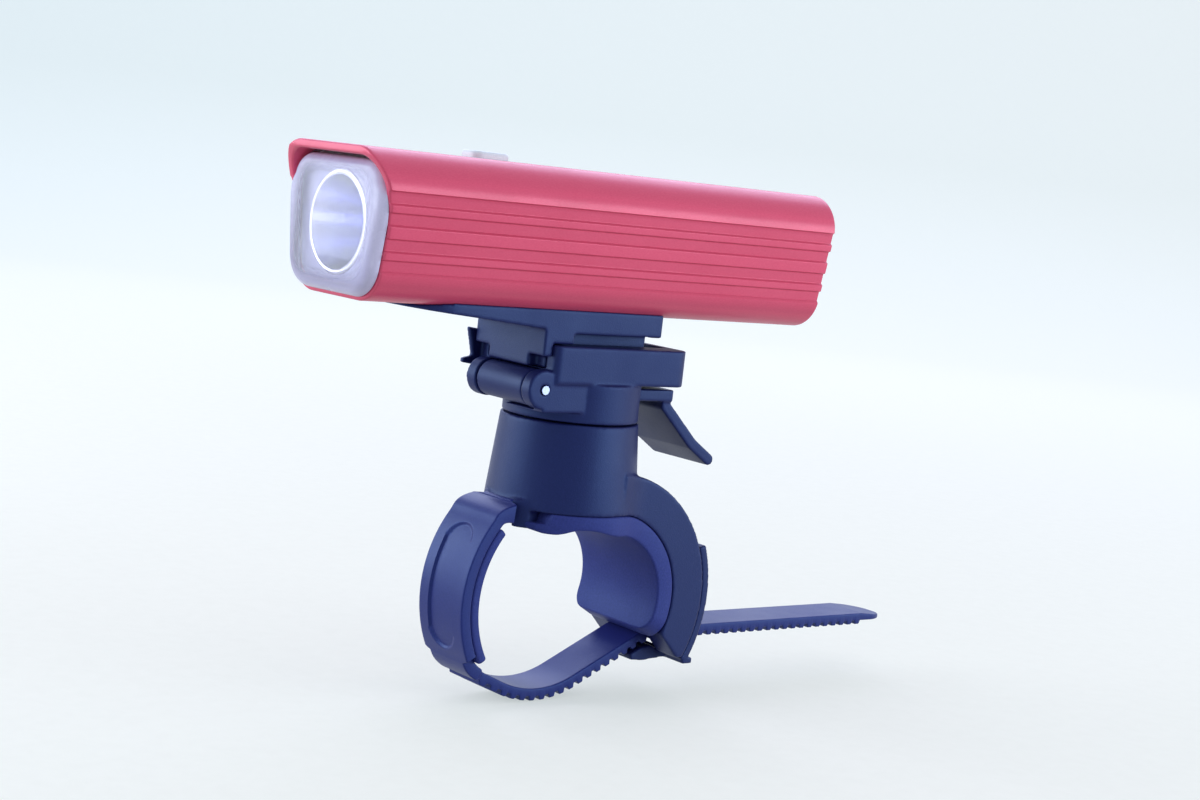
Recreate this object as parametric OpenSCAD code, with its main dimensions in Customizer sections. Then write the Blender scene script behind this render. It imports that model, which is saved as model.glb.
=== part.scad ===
// Bicycle headlight on a slide-off handlebar bracket with a toothed strap clamp.
// Millimetres. The origin is on the handlebar axis, X runs along the bar,
// the lamp shines towards -Y and Z is up.

/* [Handlebar clamp] */
// Diameter of the handlebar
bar_d = 25.4; // [22.2:0.1:26]
// Radial clearance between the bar and the rubber pad
bar_clear = 0.1; // [0.05:0.01:0.15]
// Thickness of the rubber saddle pad
pad_t = 3.9; // [3.4:0.1:4.4]
// Thickness of the rear arm
arm_t = 7.8; // [7.4:0.1:9]
// Width of the clamp along the bar
clamp_w = 24; // [22:0.5:27]
// Diameter of the swivel neck at its top
neck_d = 26.6; // [26.4:0.1:29]
// How much wider the neck is at its foot
neck_flare = 3; // [0:0.1:3.4]
// Height of the top of the neck above the bar axis
neck_top = 33.6; // [33:0.1:36]
// Distance of the swivel axis ahead of the bar axis
swivel_ahead = 4.4; // [4:0.1:5]

/* [Strap] */
// Width of the toothed strap
strap_w = 10; // [9:0.2:11]
// Width of the front arm, the stiff top of the strap
front_arm_w = 14; // [13:0.2:15]
// Thickness of the strap without its teeth
strap_t = 1.6; // [1.4:0.1:2]
// Thickness of the front arm
front_arm_t = 2.2; // [1.8:0.1:2.6]
// Outer radius of the front arm
front_arm_r = 25; // [24:0.5:27]
// Thickness of the rubber liner of the front arm
strap_pad_t = 1.9; // [1.4:0.1:2.2]
// Distance between two teeth
tooth_pitch = 2.4; // [2:0.1:3]
// Height of a tooth
tooth_h = 0.8; // [0.6:0.1:1]
// Distance of the tip of the tail behind the bar axis
tail_end = 87; // [60:1:110]
// Clearance of the strap in its slot
strap_clear = 0.4; // [0.3:0.05:0.5]

/* [Ratchet latch] */
// Thickness of the latch plate
latch_t = 1.7; // [1.5:0.1:2.2]
// Diameter of the latch pin
latch_pin_d = 1.8; // [1.5:0.1:2]

/* [Bracket head] */
// Diameter of the swivel disc
disc_d = 26.2; // [25.6:0.2:29]
// Height of the swivel disc at its front
disc_h = 2.4; // [2.2:0.1:3.4]
// Diameter of the lever pin
pin_d = 1.7; // [1.5:0.1:2]
// Diameter of the lever barrel
barrel_d = 6.8; // [6:0.1:7.2]
// Distance of the lever pin ahead of the swivel axis
pin_ahead = 15.8; // [15.4:0.1:17]
// Outer width of the holder
holder_w = 24.4; // [24:0.2:27]
// Length of the holder
holder_l = 32.7; // [31:0.1:36]
// Height of the holder walls above the lever plate
holder_h = 7.9; // [7.7:0.1:9]
// Outer width over the hinge ears
ears_w = 23.4; // [23:0.2:24]
// Width of the release lever
lever_w = 17.4; // [16:0.2:17.8]

/* [Lamp] */
// Length of the lamp housing
lamp_l = 108.2; // [105:0.2:120]
// Height of the lamp housing
lamp_h = 26.4; // [26:0.1:29]
// Width of the lamp housing near its top
lamp_top_w = 33; // [32:0.1:37]
// Width of the lamp housing near its bottom
lamp_bottom_w = 29; // [28:0.1:32]
// Corner radius of the lamp housing
corner_r = 7; // [6.4:0.1:7.6]
// Wall of the lamp housing
wall = 1.6; // [1.4:0.1:1.8]
// Depth of the side grooves
groove_depth = 0.5; // [0.2:0.05:0.7]
// Height of one side groove
groove_w = 2.2; // [1.6:0.1:2.6]
// Radius of the scooped front edge
scoop_r = 25; // [20:0.5:40]
// Depth of the scooped front edge behind the visor
scoop_depth = 3.8; // [3:0.1:4.4]
// Distance of the rear end behind the swivel axis
lamp_behind = 48.9; // [48:0.1:56]

/* [Light engine and battery] */
// Wall of the clear lens
lens_wall = 2; // [1.6:0.1:2.2]
// Depth of the clear lens
lens_depth = 6.4; // [5:0.1:8]
// Radius of the reflector mouth
reflector_r = 8.5; // [7:0.1:8.6]
// Diameter of the battery cell
cell_d = 18.4; // [18:0.1:18.6]
// Length of the battery cell
cell_l = 65.2; // [60:0.1:66]
// Travel of the power button
button_travel = 0.5; // [0.3:0.05:0.6]

/* [Shoe] */
// Width of the shoe plate under the lamp
shoe_w = 21.6; // [20:0.2:24]
// Width of the rail foot in the holder
foot_w = 17.4; // [16:0.2:17.8]
// Width of the neck above the rail foot
rail_neck_w = 12.4; // [10:0.2:13]
// Thickness of the shoe plate
shoe_t = 3.7; // [3.2:0.1:5]
// Distance of the shoe's front end ahead of the swivel axis
shoe_ahead = 46.5; // [40:0.5:48]
// Distance of the shoe's rear end behind the swivel axis
shoe_behind = 11.6; // [11:0.1:13]

/* [Fits] */
// Radial clearance of a turning pin or shaft
turn_clear = 0.05; // [0.02:0.01:0.1]
// Clearance of a sliding or seated piece
seat_clear = 0.1; // [0.05:0.01:0.15]
// Gap beside a moving piece
run_gap = 0.3; // [0.2:0.05:0.4]

/* [Hidden] */
$fn = 64;
// Overshoot of a cut past the face that it opens
cut = 1;

// Handlebar clamp: places in the side view are [y, z]
bar_r = bar_d / 2;
pad_r = bar_r + bar_clear;
seat_r = pad_r + pad_t;
arm_r = seat_r + arm_t;
swivel_y = -swivel_ahead;
// Angle at which the pad ends, and the level underside of the rear arm behind it
pad_end_a = -25;
arm_low = [19.6, -12.4];
// Underside of the saddle ahead of the seat, and the nose that holds the strap's root
saddle_z = seat_r + 0.1;
nose_w = 14;
nose_y = [swivel_y - 15.2, swivel_y - 10.2];
nose_z = [13.3, 18.6];
nose_bevel = 0.8;
nose_corner = 3.2;
// Neck's foot, and the radius that draws it out into the straight sides of the arm
foot_r = (neck_d + neck_flare) / 2;
blend_r = 14;
// How far the arm's root stays behind the neck's foot
root_inset = 0.2;
// Lap of the pad over the top of the saddle, in degrees
pad_lap = 0.5;

// Strap in the side view: front arm, a fall, the bottom bend, a rise and the turn into the slot
front_arm_c = [-5.2, -0.6];
front_arm_ends = [140, 207];
heel_end = 214;
strap_pad_ends = [141.5, 209];
bend_c = [-8.9, 1.6];
bend_r = 20.8;
bend_ends = [246, 295.6];
fall_l = 7.6;
rise_l = 16.5;
fall_u = [-sin(bend_ends[0]), cos(bend_ends[0])];
fall_n = [cos(bend_ends[0]), sin(bend_ends[0])];
rise_u = [-sin(bend_ends[1]), cos(bend_ends[1])];
rise_n = [cos(bend_ends[1]), sin(bend_ends[1])];
fall_from = bend_c + bend_r * fall_n - fall_l * fall_u;
rise_from = bend_c + bend_r * rise_n;
rise_to = rise_from + rise_l * rise_u;
turn_r = 14;
turn_c = rise_to + turn_r * rise_n;
turn_ends = [bend_ends[1] - 180, 90];
tail_z = turn_c[1] + turn_r;
tail_taper = 8;
// Half widths of a tooth at its root and tip, as shares of the pitch
tooth_root = 0.34;
tooth_tip = 0.2;
strap_pin_d = 1.8;
strap_eye = [swivel_y - 12.2, nose_z[0] + 2.3];
strap_eye_r = 2;
eye_w = 9;
knuckle_swell = 0.9;
panel_w = 8;
panel_depth = 0.5;
panel_sink = 0.12;
panel_ends = [156, 194];

// Ratchet latch
latch_pin_a = 23;
latch_pin_at = (arm_r - 2.6) * [cos(latch_pin_a), sin(latch_pin_a)];
latch_r = arm_r + run_gap;
latch_w = clamp_w - 1;
latch_ends = [-31, 22.5];
knuckle_r = 2.6;
knuckle_w = 14;
pawl_w = 11;
latch_bar_y = [arm_low[0] + 2.2, latch_r - 0.4];
latch_bar_z = [arm_low[1] - 1.5, arm_low[1] - run_gap];
latch_window_z = [latch_bar_z[1], tail_z + strap_t / 2 + 0.8];

// Bracket head: the stack of heights starts on the neck
disc_z = neck_top + run_gap;
disc_top = disc_z + disc_h;
barrel_r = barrel_d / 2;
pin_z = disc_top + 0.4 + barrel_r;
pin_y = swivel_y - pin_ahead;
lever_z = [pin_z - 2, pin_z + 0.3];
holder_z = lever_z[1] + 0.9;
holder_top = lever_z[1] + holder_h;
holder_y = [swivel_y - 14.2, swivel_y - 14.2 + holder_l];
foot_z = pin_z + barrel_r + 0.4;
channel_z = foot_z - 0.15;
foot_h = 2.4;
lip_z = foot_z + foot_h + 0.15;
bridge_t = 1.8;
ear_r = 3.6;
ear_in = lever_w / 2 + run_gap;
far_ear_x = [-8.2, -5.4];
barrel_x = [far_ear_x[1] + run_gap, lever_w / 2];
lip_t = 1.1;
holder_r = [1.4, 3];
tunnel_drop = 1.1;
spigot_r = 6;
spigot_h = 6;
screw_r = 2;
screw_head_r = 3.6;
screw_head_z = [disc_z - 2.2, disc_z + 0.4];
nut_af = 7;
nut_z = [17.6, 20.8];
catch_w = 6;
catch_y = [swivel_y - 4.7, swivel_y - 2.5];
spring_y = swivel_y + 7.9;
spring_r = 2.1;
spring_wire = 0.35;
spring_turns = 3;
spring_z = [disc_z + 0.6, lever_z[0] - 0.1];

// Release lever paddle, near its middle line in the side view
paddle_t = 2.2;
plate_end = swivel_y + 18.2;
paddle_path = [[plate_end - paddle_t / 2, lever_z[1] - paddle_t / 2], [swivel_y + 17.1, pin_z - 3],
               [swivel_y + 25.1, pin_z - 10.4], [swivel_y + 29.9, pin_z - 13.5]];

// Shoe under the lamp
shoe_z = holder_top + 2.2;
lamp_z = shoe_z + shoe_t;
shoe_y = [swivel_y - shoe_ahead, swivel_y + shoe_behind];
shoe_over = 2;
stop_t = 2;
stop_y = [holder_y[0] - seat_clear - stop_t, holder_y[0] - seat_clear];
stop_z = foot_z + 2.3;
shoulder_y = swivel_y - 9.5;
shoe_screw_r = 1.25;
shoe_screw_at = [[5, swivel_y - 20.5], [8.4, swivel_y + 7.5]];
shoe_head_r = 1.9;
shoe_head_z = [lamp_z - 2.3, lamp_z - 1.3];

// Lamp: places along Y count from the visor and from the rear end
lamp_y = [swivel_y + lamp_behind - lamp_l, swivel_y + lamp_behind];
top_c = [lamp_top_w / 2 - corner_r, lamp_h - corner_r];
low_c = [lamp_bottom_w / 2 - corner_r, corner_r];
side_u = (top_c - low_c) / norm(top_c - low_c);
side_n = [side_u[1], -side_u[0]];
groove_base = 5.4;
groove_pitch = 3.65;
groove_pair = 8.1;
scoop_z = lamp_z + 11.8;
optic_z = lamp_z + lamp_h / 2 - 0.4;
lens_fit = wall + seat_clear;
scoop_y = lamp_y[0] + scoop_depth;
lens_y = [scoop_y - 2, scoop_y - 2 + lens_depth];
lens_rim = 0.8;
lens_plate = 2.2;
lens_round = 1.2;
gasket_t = 0.8;
carrier_wall = 1.2;
carrier_floor = 4;
board_t = 1.6;
board_r = 7.6;
reflector_l = 13;
reflector_wall = 0.7;
reflector_throat = 2.9;
reflector_y = lens_y[0] + lens_plate + 0.2;
board_y = reflector_y + reflector_l;
carrier_y = [lens_y[1] + gasket_t, board_y + board_t + carrier_floor];
emitter_w = 3.5;
emitter_t = 0.7;
tray_end = 1.8;
cell_clear = 0.2;
tray_y = [carrier_y[1], carrier_y[1] + cell_l + 2 * cell_clear + 2 * tray_end];
cell_z = lamp_z + wall + run_gap + cell_d / 2;
pcb_t = 1;
pcb_z = cell_z + cell_d / 2 + 0.4;
pcb_w = 22;
pcb_y = [tray_y[0] + 1, lamp_y[1] - 5.2];
button_l = 8.2;
button_w = 5.6;
button_rise = 1.3;
button_y = swivel_y - 26.3;
button_flange = 0.7;
button_flange_t = 0.5;
button_under = lamp_z + lamp_h - wall - seat_clear - button_flange_t;
switch_w = 4.5;
switch_h = 1.4;
cap_y = [lamp_y[1] - 5, lamp_y[1] - 0.5];
cap_groove_y = [cap_y[0] + 1, cap_y[0] + 2.4];
cap_groove = 0.7;
port_r = 2;
port_at = [lamp_bottom_w / 2 - wall - 2.7, wall + 2.9];
cap_screw_r = 0.8;
cap_screw_l = 6;
cap_hole_l = 12;
cap_head_r = 1.4;
cap_head_y = [cap_y[1] - 1.4, cap_y[1] - 0.2];
usb_w = 8.9;
usb_h = 3.2;
usb_l = 7.2;
usb_z = pcb_z - usb_h / 2;
flap_w = 14;
flap_h = 7;
flap_t = 1.4;
flap_pin_r = 0.8;
flap_pin_z = usb_z - flap_h / 2 - 0.2;
flap_pin_y = cap_y[1] - flap_pin_r;

red = [0.79, 0.3, 0.38];
black = [0.16, 0.16, 0.2];
rubber = [0.11, 0.11, 0.13];
steel = [0.75, 0.76, 0.78];
clear = [0.86, 0.9, 0.95, 0.5];

// Extrude a side view [y, z] along X, centred
module along_x(w) {
  rotate([90, 0, 90]) linear_extrude(w, center = true) children();
}

// Extrude a side view [y, z] along X between two places
module span_x(x) {
  translate([(x[0] + x[1]) / 2, 0, 0]) along_x(x[1] - x[0]) children();
}

// Extrude a front view [x, z] along Y between two places
module along_y(y) {
  translate([0, y[1], 0]) rotate([90, 0, 0]) linear_extrude(y[1] - y[0]) children();
}

// Extrude a plan view [x, y] along Z between two heights
module along_z(z) {
  translate([0, 0, z[0]]) linear_extrude(z[1] - z[0]) children();
}

// Round bar along X through a place in the side view
module bar_x(at, r, w) {
  translate([0, at[0], at[1]]) rotate([0, 90, 0]) cylinder(r = r, h = w, center = true);
}

// Sector of a ring between two radii and two angles
module ring(r, a) {
  steps = 8;
  intersection() {
    difference() {
      circle(r[1]);
      circle(r[0]);
    }
    polygon(concat([[0, 0]], [for (i = [0 : steps])
      2 * r[1] * [cos(a[0] + (a[1] - a[0]) * i / steps), sin(a[0] + (a[1] - a[0]) * i / steps)]]));
  }
}

// Rounded rectangle about the origin
module rounded(w, h, r) {
  square([w - 2 * r, h], center = true);
  square([w, h - 2 * r], center = true);
  for (x = [-1, 1], y = [-1, 1]) translate([x * (w / 2 - r), y * (h / 2 - r)]) circle(r);
}

// Line of constant thickness with round corners and ends
module thick_path(points, t) {
  for (p = points) translate(p) circle(t / 2);
  for (i = [0 : len(points) - 2]) {
    d = points[i + 1] - points[i];
    translate(points[i]) rotate(atan2(d[1], d[0])) translate([0, -t / 2]) square([norm(d), t]);
  }
}

// Round wire swept along the helix of a coil about Z, its two ends capped
module coil(r, wire, turns, rise) {
  sides = 6;
  rings = 8 * turns;
  points = [for (i = [0 : rings], k = [0 : sides - 1])
    let (a = 360 * turns * i / rings, b = 360 * k / sides, q = r + wire / 2 * cos(b))
    [q * cos(a), q * sin(a), rise * i / rings + wire / 2 * sin(b)]];
  skin = [for (i = [0 : rings - 1], k = [0 : sides - 1])
    let (a = i * sides + k, b = i * sides + (k + 1) % sides)
    each [[a, a + sides, b], [b, a + sides, b + sides]]];
  first = [for (k = [1 : sides - 2]) [0, k, k + 1]];
  last = [for (k = [1 : sides - 2]) [0, k + 1, k] + rings * sides * [1, 1, 1]];
  polyhedron(points, concat(skin, first, last), convexity = 10);
}

// Gap between neighbouring turns of a coil
function coil_gap(wire, turns, rise) = rise / turns - wire;

// Cross-section of the lamp, narrower at the bottom, moved inwards by an inset
module lamp_section(inset) {
  r = corner_r - inset;
  right = [low_c - [0, r], low_c + r * side_n, top_c + r * side_n, top_c + [0, r]];
  left = [for (i = [3 : -1 : 0]) [-right[i][0], right[i][1]]];
  translate([0, lamp_z]) {
    polygon(concat(right, left));
    for (x = [-1, 1], c = [low_c, top_c]) translate([x * c[0], c[1]]) circle(r);
  }
}

// Long grooves in both sides of the lamp
module side_grooves() {
  start = low_c + corner_r * side_n;
  for (flip = [0, 1], pair = [0, 1], row = [0, 1]) {
    height = groove_base + pair * groove_pair + row * groove_pitch;
    mirror([flip, 0]) translate([0, lamp_z] + start) rotate(atan2(side_u[1], side_u[0]))
      translate([(height - start[1]) / side_u[1], -cut]) square([groove_w, groove_depth + cut]);
  }
}

// Copies of a front view at the two rear screw ports
module at_ports() {
  for (x = [-1, 1]) translate([x * port_at[0], lamp_z + port_at[1]]) children();
}

// Copies at the four shoe screws
module at_shoe_screws() {
  for (x = [-1, 1], p = shoe_screw_at) translate([x * p[0], p[1], 0]) children();
}

// Plan view of the button and of its hole
module button_plan(grow) {
  translate([0, button_y]) rounded(button_w + 2 * grow, button_l + 2 * grow, 1.8 + grow);
}

// Side view of what the front edge loses: level with the scoop below, curving out to the visor
module scoop_side() {
  visor_a = acos((scoop_r - scoop_depth) / scoop_r) + 2;
  centre = [scoop_y - scoop_r, scoop_z];
  ahead = lamp_y[0] - cut;
  polygon(concat(arc(centre, scoop_r, [0, visor_a], 14),
                 [[ahead, scoop_z], [ahead, lamp_z - cut], [scoop_y, lamp_z - cut]]));
}

module housing() {
  port_y = [carrier_y[1] + seat_clear, cap_y[0] - seat_clear];
  color(red) difference() {
    union() {
      difference() {
        along_y(lamp_y) difference() {
          lamp_section(0);
          side_grooves();
        }
        along_y([lamp_y[0] - cut, lamp_y[1] + cut]) lamp_section(wall);
      }
      along_y(port_y) at_ports() circle(port_r);
    }
    along_y([port_y[1] - cap_hole_l, port_y[1] + cut]) at_ports() circle(cap_screw_r + turn_clear);
    along_x(lamp_top_w + 2 * cut) scoop_side();
    along_z([lamp_z + lamp_h - wall - cut, lamp_z + lamp_h + cut]) button_plan(seat_clear);
    at_shoe_screws() translate([0, 0, lamp_z - cut])
      cylinder(r = shoe_screw_r + turn_clear, h = wall + 3 * cut);
  }
}

// Block of the lens with a rounded front edge
module lens_block(inset, end) {
  hull() for (a = [0 : 30 : 90]) {
    y = lens_y[0] + lens_round * (1 - sin(a));
    along_y([y, end]) lamp_section(inset + lens_round * (1 - cos(a)), $fn = 32);
  }
}

module front_lens() {
  color(clear) difference() {
    union() {
      lens_block(lens_fit, lens_y[1]);
      intersection() {
        lens_block(lens_rim, scoop_y - seat_clear);
        along_x(lamp_top_w) translate([-seat_clear, 0]) scoop_side();
      }
    }
    along_y([lens_y[0] + lens_plate, lens_y[1] + cut]) lamp_section(lens_fit + lens_wall);
  }
}

module lens_gasket() {
  color(rubber) along_y([lens_y[1], lens_y[1] + gasket_t]) difference() {
    lamp_section(lens_fit);
    lamp_section(lens_fit + lens_wall);
  }
}

module reflector() {
  steps = 12;
  flange_t = 1;
  inner = [for (i = [0 : steps]) let (t = i / steps)
    [reflector_throat + (reflector_r - reflector_throat) * sqrt(t), reflector_l * t]];
  outer = [for (i = [steps : -1 : 2]) inner[i] + [reflector_wall, 0]];
  flange = [[inner[2][0] + reflector_wall, flange_t], [board_r, flange_t], [board_r, 0]];
  color(steel) translate([0, board_y, optic_z]) rotate([90, 0, 0]) rotate_extrude()
    polygon(concat(inner, outer, flange));
}

module led_emitter() {
  color([0.95, 0.85, 0.4]) translate([0, board_y, optic_z]) rotate([90, 0, 0]) {
    translate([-emitter_w / 2, -emitter_w / 2, 0]) cube([emitter_w, emitter_w, emitter_t]);
    intersection() {
      translate([0, 0, emitter_t]) sphere(r = 1.3);
      translate([0, 0, emitter_t / 2]) cylinder(r = 2, h = 3);
    }
  }
}

module led_board() {
  color([0.92, 0.92, 0.9]) translate([0, board_y + board_t, optic_z]) rotate([90, 0, 0])
    cylinder(r = board_r, h = board_t);
}

module led_carrier() {
  floor_y = board_y + board_t;
  color([0.7, 0.71, 0.73]) difference() {
    along_y(carrier_y) lamp_section(lens_fit);
    along_y([carrier_y[0] - cut, floor_y]) lamp_section(lens_fit + carrier_wall);
    for (x = [-1, 1]) translate([x * 9.6, carrier_y[1] + cut, optic_z]) rotate([90, 0, 0])
      cylinder(r = 1.2, h = carrier_floor + 2 * cut);
  }
}

module battery_cell() {
  start = tray_y[0] + tray_end + cell_clear;
  color([0.35, 0.5, 0.75]) translate([0, start, cell_z]) rotate([-90, 0, 0])
    cylinder(d = cell_d, h = cell_l);
}

module cell_tray() {
  color(black) difference() {
    along_y(tray_y) intersection() {
      lamp_section(wall + run_gap);
      translate([-lamp_top_w / 2, lamp_z + wall + 0.6])
        square([lamp_top_w, pcb_z - lamp_z - wall - 0.6]);
    }
    along_y([tray_y[0] + tray_end, tray_y[1] - tray_end]) translate([0, cell_z])
      circle(d = cell_d + 2 * cell_clear);
    along_y([tray_y[0] - cut, tray_y[1] + cut]) at_ports() circle(port_r + run_gap);
  }
}

module circuit_board() {
  color([0.12, 0.4, 0.22]) translate([-pcb_w / 2, pcb_y[0], pcb_z])
    cube([pcb_w, pcb_y[1] - pcb_y[0], pcb_t]);
}

module tact_switch() {
  color(steel) translate([0, button_y, pcb_z + pcb_t]) {
    translate([-switch_w / 2, -switch_w / 2, 0]) cube([switch_w, switch_w, switch_h]);
    cylinder(r = 1.1, h = button_under - button_travel - 0.05 - pcb_z - pcb_t);
  }
}

module power_button() {
  color([0.93, 0.95, 0.98, 0.8]) {
    along_z([button_under, lamp_z + lamp_h + button_rise]) button_plan(0);
    along_z([button_under, button_under + button_flange_t]) button_plan(button_flange);
  }
}

module usb_socket() {
  color(steel) translate([0, 0, usb_z]) {
    along_y([cap_y[1] - flap_t - 0.6 - usb_l, cap_y[1] - flap_t - 0.6]) difference() {
      rounded(usb_w, usb_h, 1.5);
      rounded(usb_w - 0.6, usb_h - 0.6, 1.2);
    }
    along_y([cap_y[1] - flap_t - 0.6 - usb_l, cap_y[1] - flap_t + 0.4 - usb_l])
      rounded(usb_w - 0.4, usb_h - 0.4, 1.2);
    along_y([cap_y[1] - flap_t - usb_l, cap_y[1] - flap_t - 1.4])
      square([usb_w - 2.3, 0.7], center = true);
  }
}

// Pocket of the port cover in the rear view
module flap_pocket(grow) {
  top = usb_z + flap_h / 2 + grow;
  low = flap_pin_z - flap_pin_r - grow;
  translate([-flap_w / 2 - grow, low]) square([flap_w + 2 * grow, top - low]);
}

module rear_cap() {
  color(black) difference() {
    union() {
      along_y(cap_y) lamp_section(lens_fit + cap_groove);
      along_y([cap_y[0], cap_groove_y[0]]) lamp_section(lens_fit);
      along_y([cap_groove_y[1], cap_y[1]]) lamp_section(lens_fit);
    }
    along_y([cap_y[1] - flap_t - 0.15, cap_y[1] + cut]) flap_pocket(0.25);
    along_y([cap_y[0] - cut, cap_y[1]]) translate([0, usb_z])
      rounded(usb_w + 2 * seat_clear, usb_h + 2 * seat_clear, 1.6);
    bar_x([flap_pin_y, flap_pin_z], flap_pin_r + turn_clear, flap_w + 4);
    along_y([cap_y[0] - cut, cap_y[1] + cut]) at_ports() circle(cap_screw_r + seat_clear);
    along_y([cap_head_y[0], cap_y[1] + cut]) at_ports() circle(cap_head_r + seat_clear);
  }
}

module rear_gasket() {
  color(rubber) along_y(cap_groove_y) difference() {
    lamp_section(wall + 0.03);
    lamp_section(lens_fit + cap_groove);
  }
}

module rear_cap_screws() {
  color(steel) {
    along_y(cap_head_y) at_ports() circle(cap_head_r);
    along_y([cap_y[0] - cap_screw_l, cap_head_y[0]]) at_ports() circle(cap_screw_r);
  }
}

module usb_cover() {
  color(rubber) {
    along_y([cap_y[1] - flap_t, cap_y[1]]) translate([0, usb_z]) rounded(flap_w, flap_h, 1.5);
    along_y([cap_y[1] - flap_t - 0.5, cap_y[1] - flap_t]) translate([0, usb_z])
      rounded(usb_w - 2, usb_h - 1.4, 0.8);
    along_y([flap_pin_y - flap_pin_r + 0.2, cap_y[1]]) translate([-flap_w / 2 + 2, flap_pin_z])
      square([flap_w - 4, 2]);
    bar_x([flap_pin_y, flap_pin_z], flap_pin_r, flap_w + 3);
  }
}

// Side view of the shoe plate, thin at its front
module shoe_side() {
  polygon([[shoe_y[0], lamp_z - 0.5], [shoe_y[0] + 14, lamp_z - 1.6], [stop_y[0], lamp_z - 3],
           [stop_y[0], shoe_z], [shoe_y[1], shoe_z], [shoe_y[1], lamp_z + shoe_over],
           [shoe_y[0], lamp_z + shoe_over]]);
}

module mount_shoe() {
  round_y = shoe_y[0] + shoe_w / 2;
  color(black) difference() {
    union() {
      intersection() {
        along_x(shoe_w) shoe_side();
        along_z([stop_z, lamp_z + shoe_over]) {
          translate([0, round_y]) circle(shoe_w / 2);
          translate([-shoe_w / 2, round_y]) square([shoe_w, shoe_y[1] - round_y]);
        }
      }
      translate([-shoe_w / 2, stop_y[0], stop_z]) cube([shoe_w, stop_t, lamp_z - stop_z]);
      translate([-shoe_w / 2, stop_y[0], holder_top + run_gap])
        cube([shoe_w, shoulder_y - stop_y[0], lamp_z - holder_top - run_gap]);
      translate([-rail_neck_w / 2, stop_y[0], foot_z])
        cube([rail_neck_w, shoe_y[1] - stop_y[0], lamp_z - foot_z]);
      translate([-foot_w / 2, holder_y[0], foot_z])
        cube([foot_w, shoe_y[1] - holder_y[0], foot_h]);
    }
    along_y([shoe_y[0] - cut, shoe_y[1] + cut]) lamp_section(-0.02);
    translate([-catch_w / 2 - run_gap, catch_y[0] - run_gap, foot_z - cut])
      cube([catch_w + 2 * run_gap, catch_y[1] - catch_y[0] + 3 * run_gap, foot_h]);
    at_shoe_screws() {
      cylinder(r = shoe_screw_r + turn_clear, h = lamp_z + cut);
      translate([0, 0, foot_z - cut])
        cylinder(r = shoe_head_r + 2 * seat_clear, h = shoe_head_z[1] - foot_z + cut);
    }
  }
}

module shoe_screws() {
  color(steel) at_shoe_screws() {
    translate([0, 0, shoe_head_z[0]]) cylinder(r = shoe_screw_r, h = lamp_z + wall - shoe_head_z[0]);
    translate([0, 0, shoe_head_z[0]]) cylinder(r = shoe_head_r, h = shoe_head_z[1] - shoe_head_z[0]);
  }
}

// Front view of the holder with its rail channel
module holder_front(open) {
  difference() {
    translate([-holder_w / 2, holder_z]) square([holder_w, holder_top - holder_z]);
    if (open) {
      translate([-foot_w / 2 - run_gap, channel_z])
        square([foot_w + 2 * run_gap, lip_z - channel_z]);
      translate([-rail_neck_w / 2 - run_gap, channel_z])
        square([rail_neck_w + 2 * run_gap, holder_top - channel_z + cut]);
    }
  }
}

// Side view of the space that the lever swings in, deeper towards the rear
module tunnel_side() {
  rear = swivel_y + disc_d / 2 + cut;
  polygon([[pin_y - ear_r - cut, disc_top], [pin_y + barrel_r, disc_top],
           [rear, disc_top - tunnel_drop], [rear, holder_z], [pin_y - ear_r - cut, holder_z]]);
}

// Plan view of the holder, rounder at its rear corners
module holder_plan() {
  for (x = [-1, 1], end = [0, 1]) {
    r = holder_r[end];
    translate([x * (holder_w / 2 - r), holder_y[end] + (end == 0 ? r : -r)]) circle(r);
  }
  translate([-holder_w / 2, holder_y[0] + holder_r[0]])
    square([holder_w, holder_l - holder_r[0] - holder_r[1]]);
  translate([holder_r[1] - holder_w / 2, holder_y[0]]) square([holder_w - 2 * holder_r[1], holder_l]);
  translate([holder_r[0] - holder_w / 2, holder_y[0]]) square([holder_w - 2 * holder_r[0], holder_l / 2]);
}

// Solid part of the head before its tunnel is cut: holder, swivel disc and near hinge ear
module cradle_block() {
  bridge_y = holder_y[1] - bridge_t;
  intersection() {
    union() {
      along_y([holder_y[0], bridge_y]) holder_front(true);
      along_y([bridge_y, holder_y[1]]) holder_front(false);
    }
    along_z([holder_z, holder_top]) holder_plan();
  }
  translate([0, swivel_y, disc_z]) cylinder(d = disc_d, h = holder_z - disc_z);
  translate([0, swivel_y, disc_z - spigot_h]) cylinder(r = spigot_r, h = spigot_h + cut);
  translate([ears_w / 4, 0, 0]) along_x(ears_w / 2) {
    translate([pin_y, pin_z]) circle(ear_r);
    translate([pin_y, disc_top - 0.4]) square([swivel_y - pin_y, holder_z - disc_top + 0.4]);
  }
}

// Front lip of the far holder wall, leaning forward over a small ledge
module far_lip() {
  polygon([[holder_y[0] + cut, holder_z], [holder_y[0] - 4.2, holder_z + 0.6],
           [holder_y[0] - 4.2, holder_z + 1.5], [holder_y[0] - 2, holder_z + 2],
           [holder_y[0] - 3.5, holder_top + 0.5], [holder_y[0] + cut, holder_top]]);
}

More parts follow.
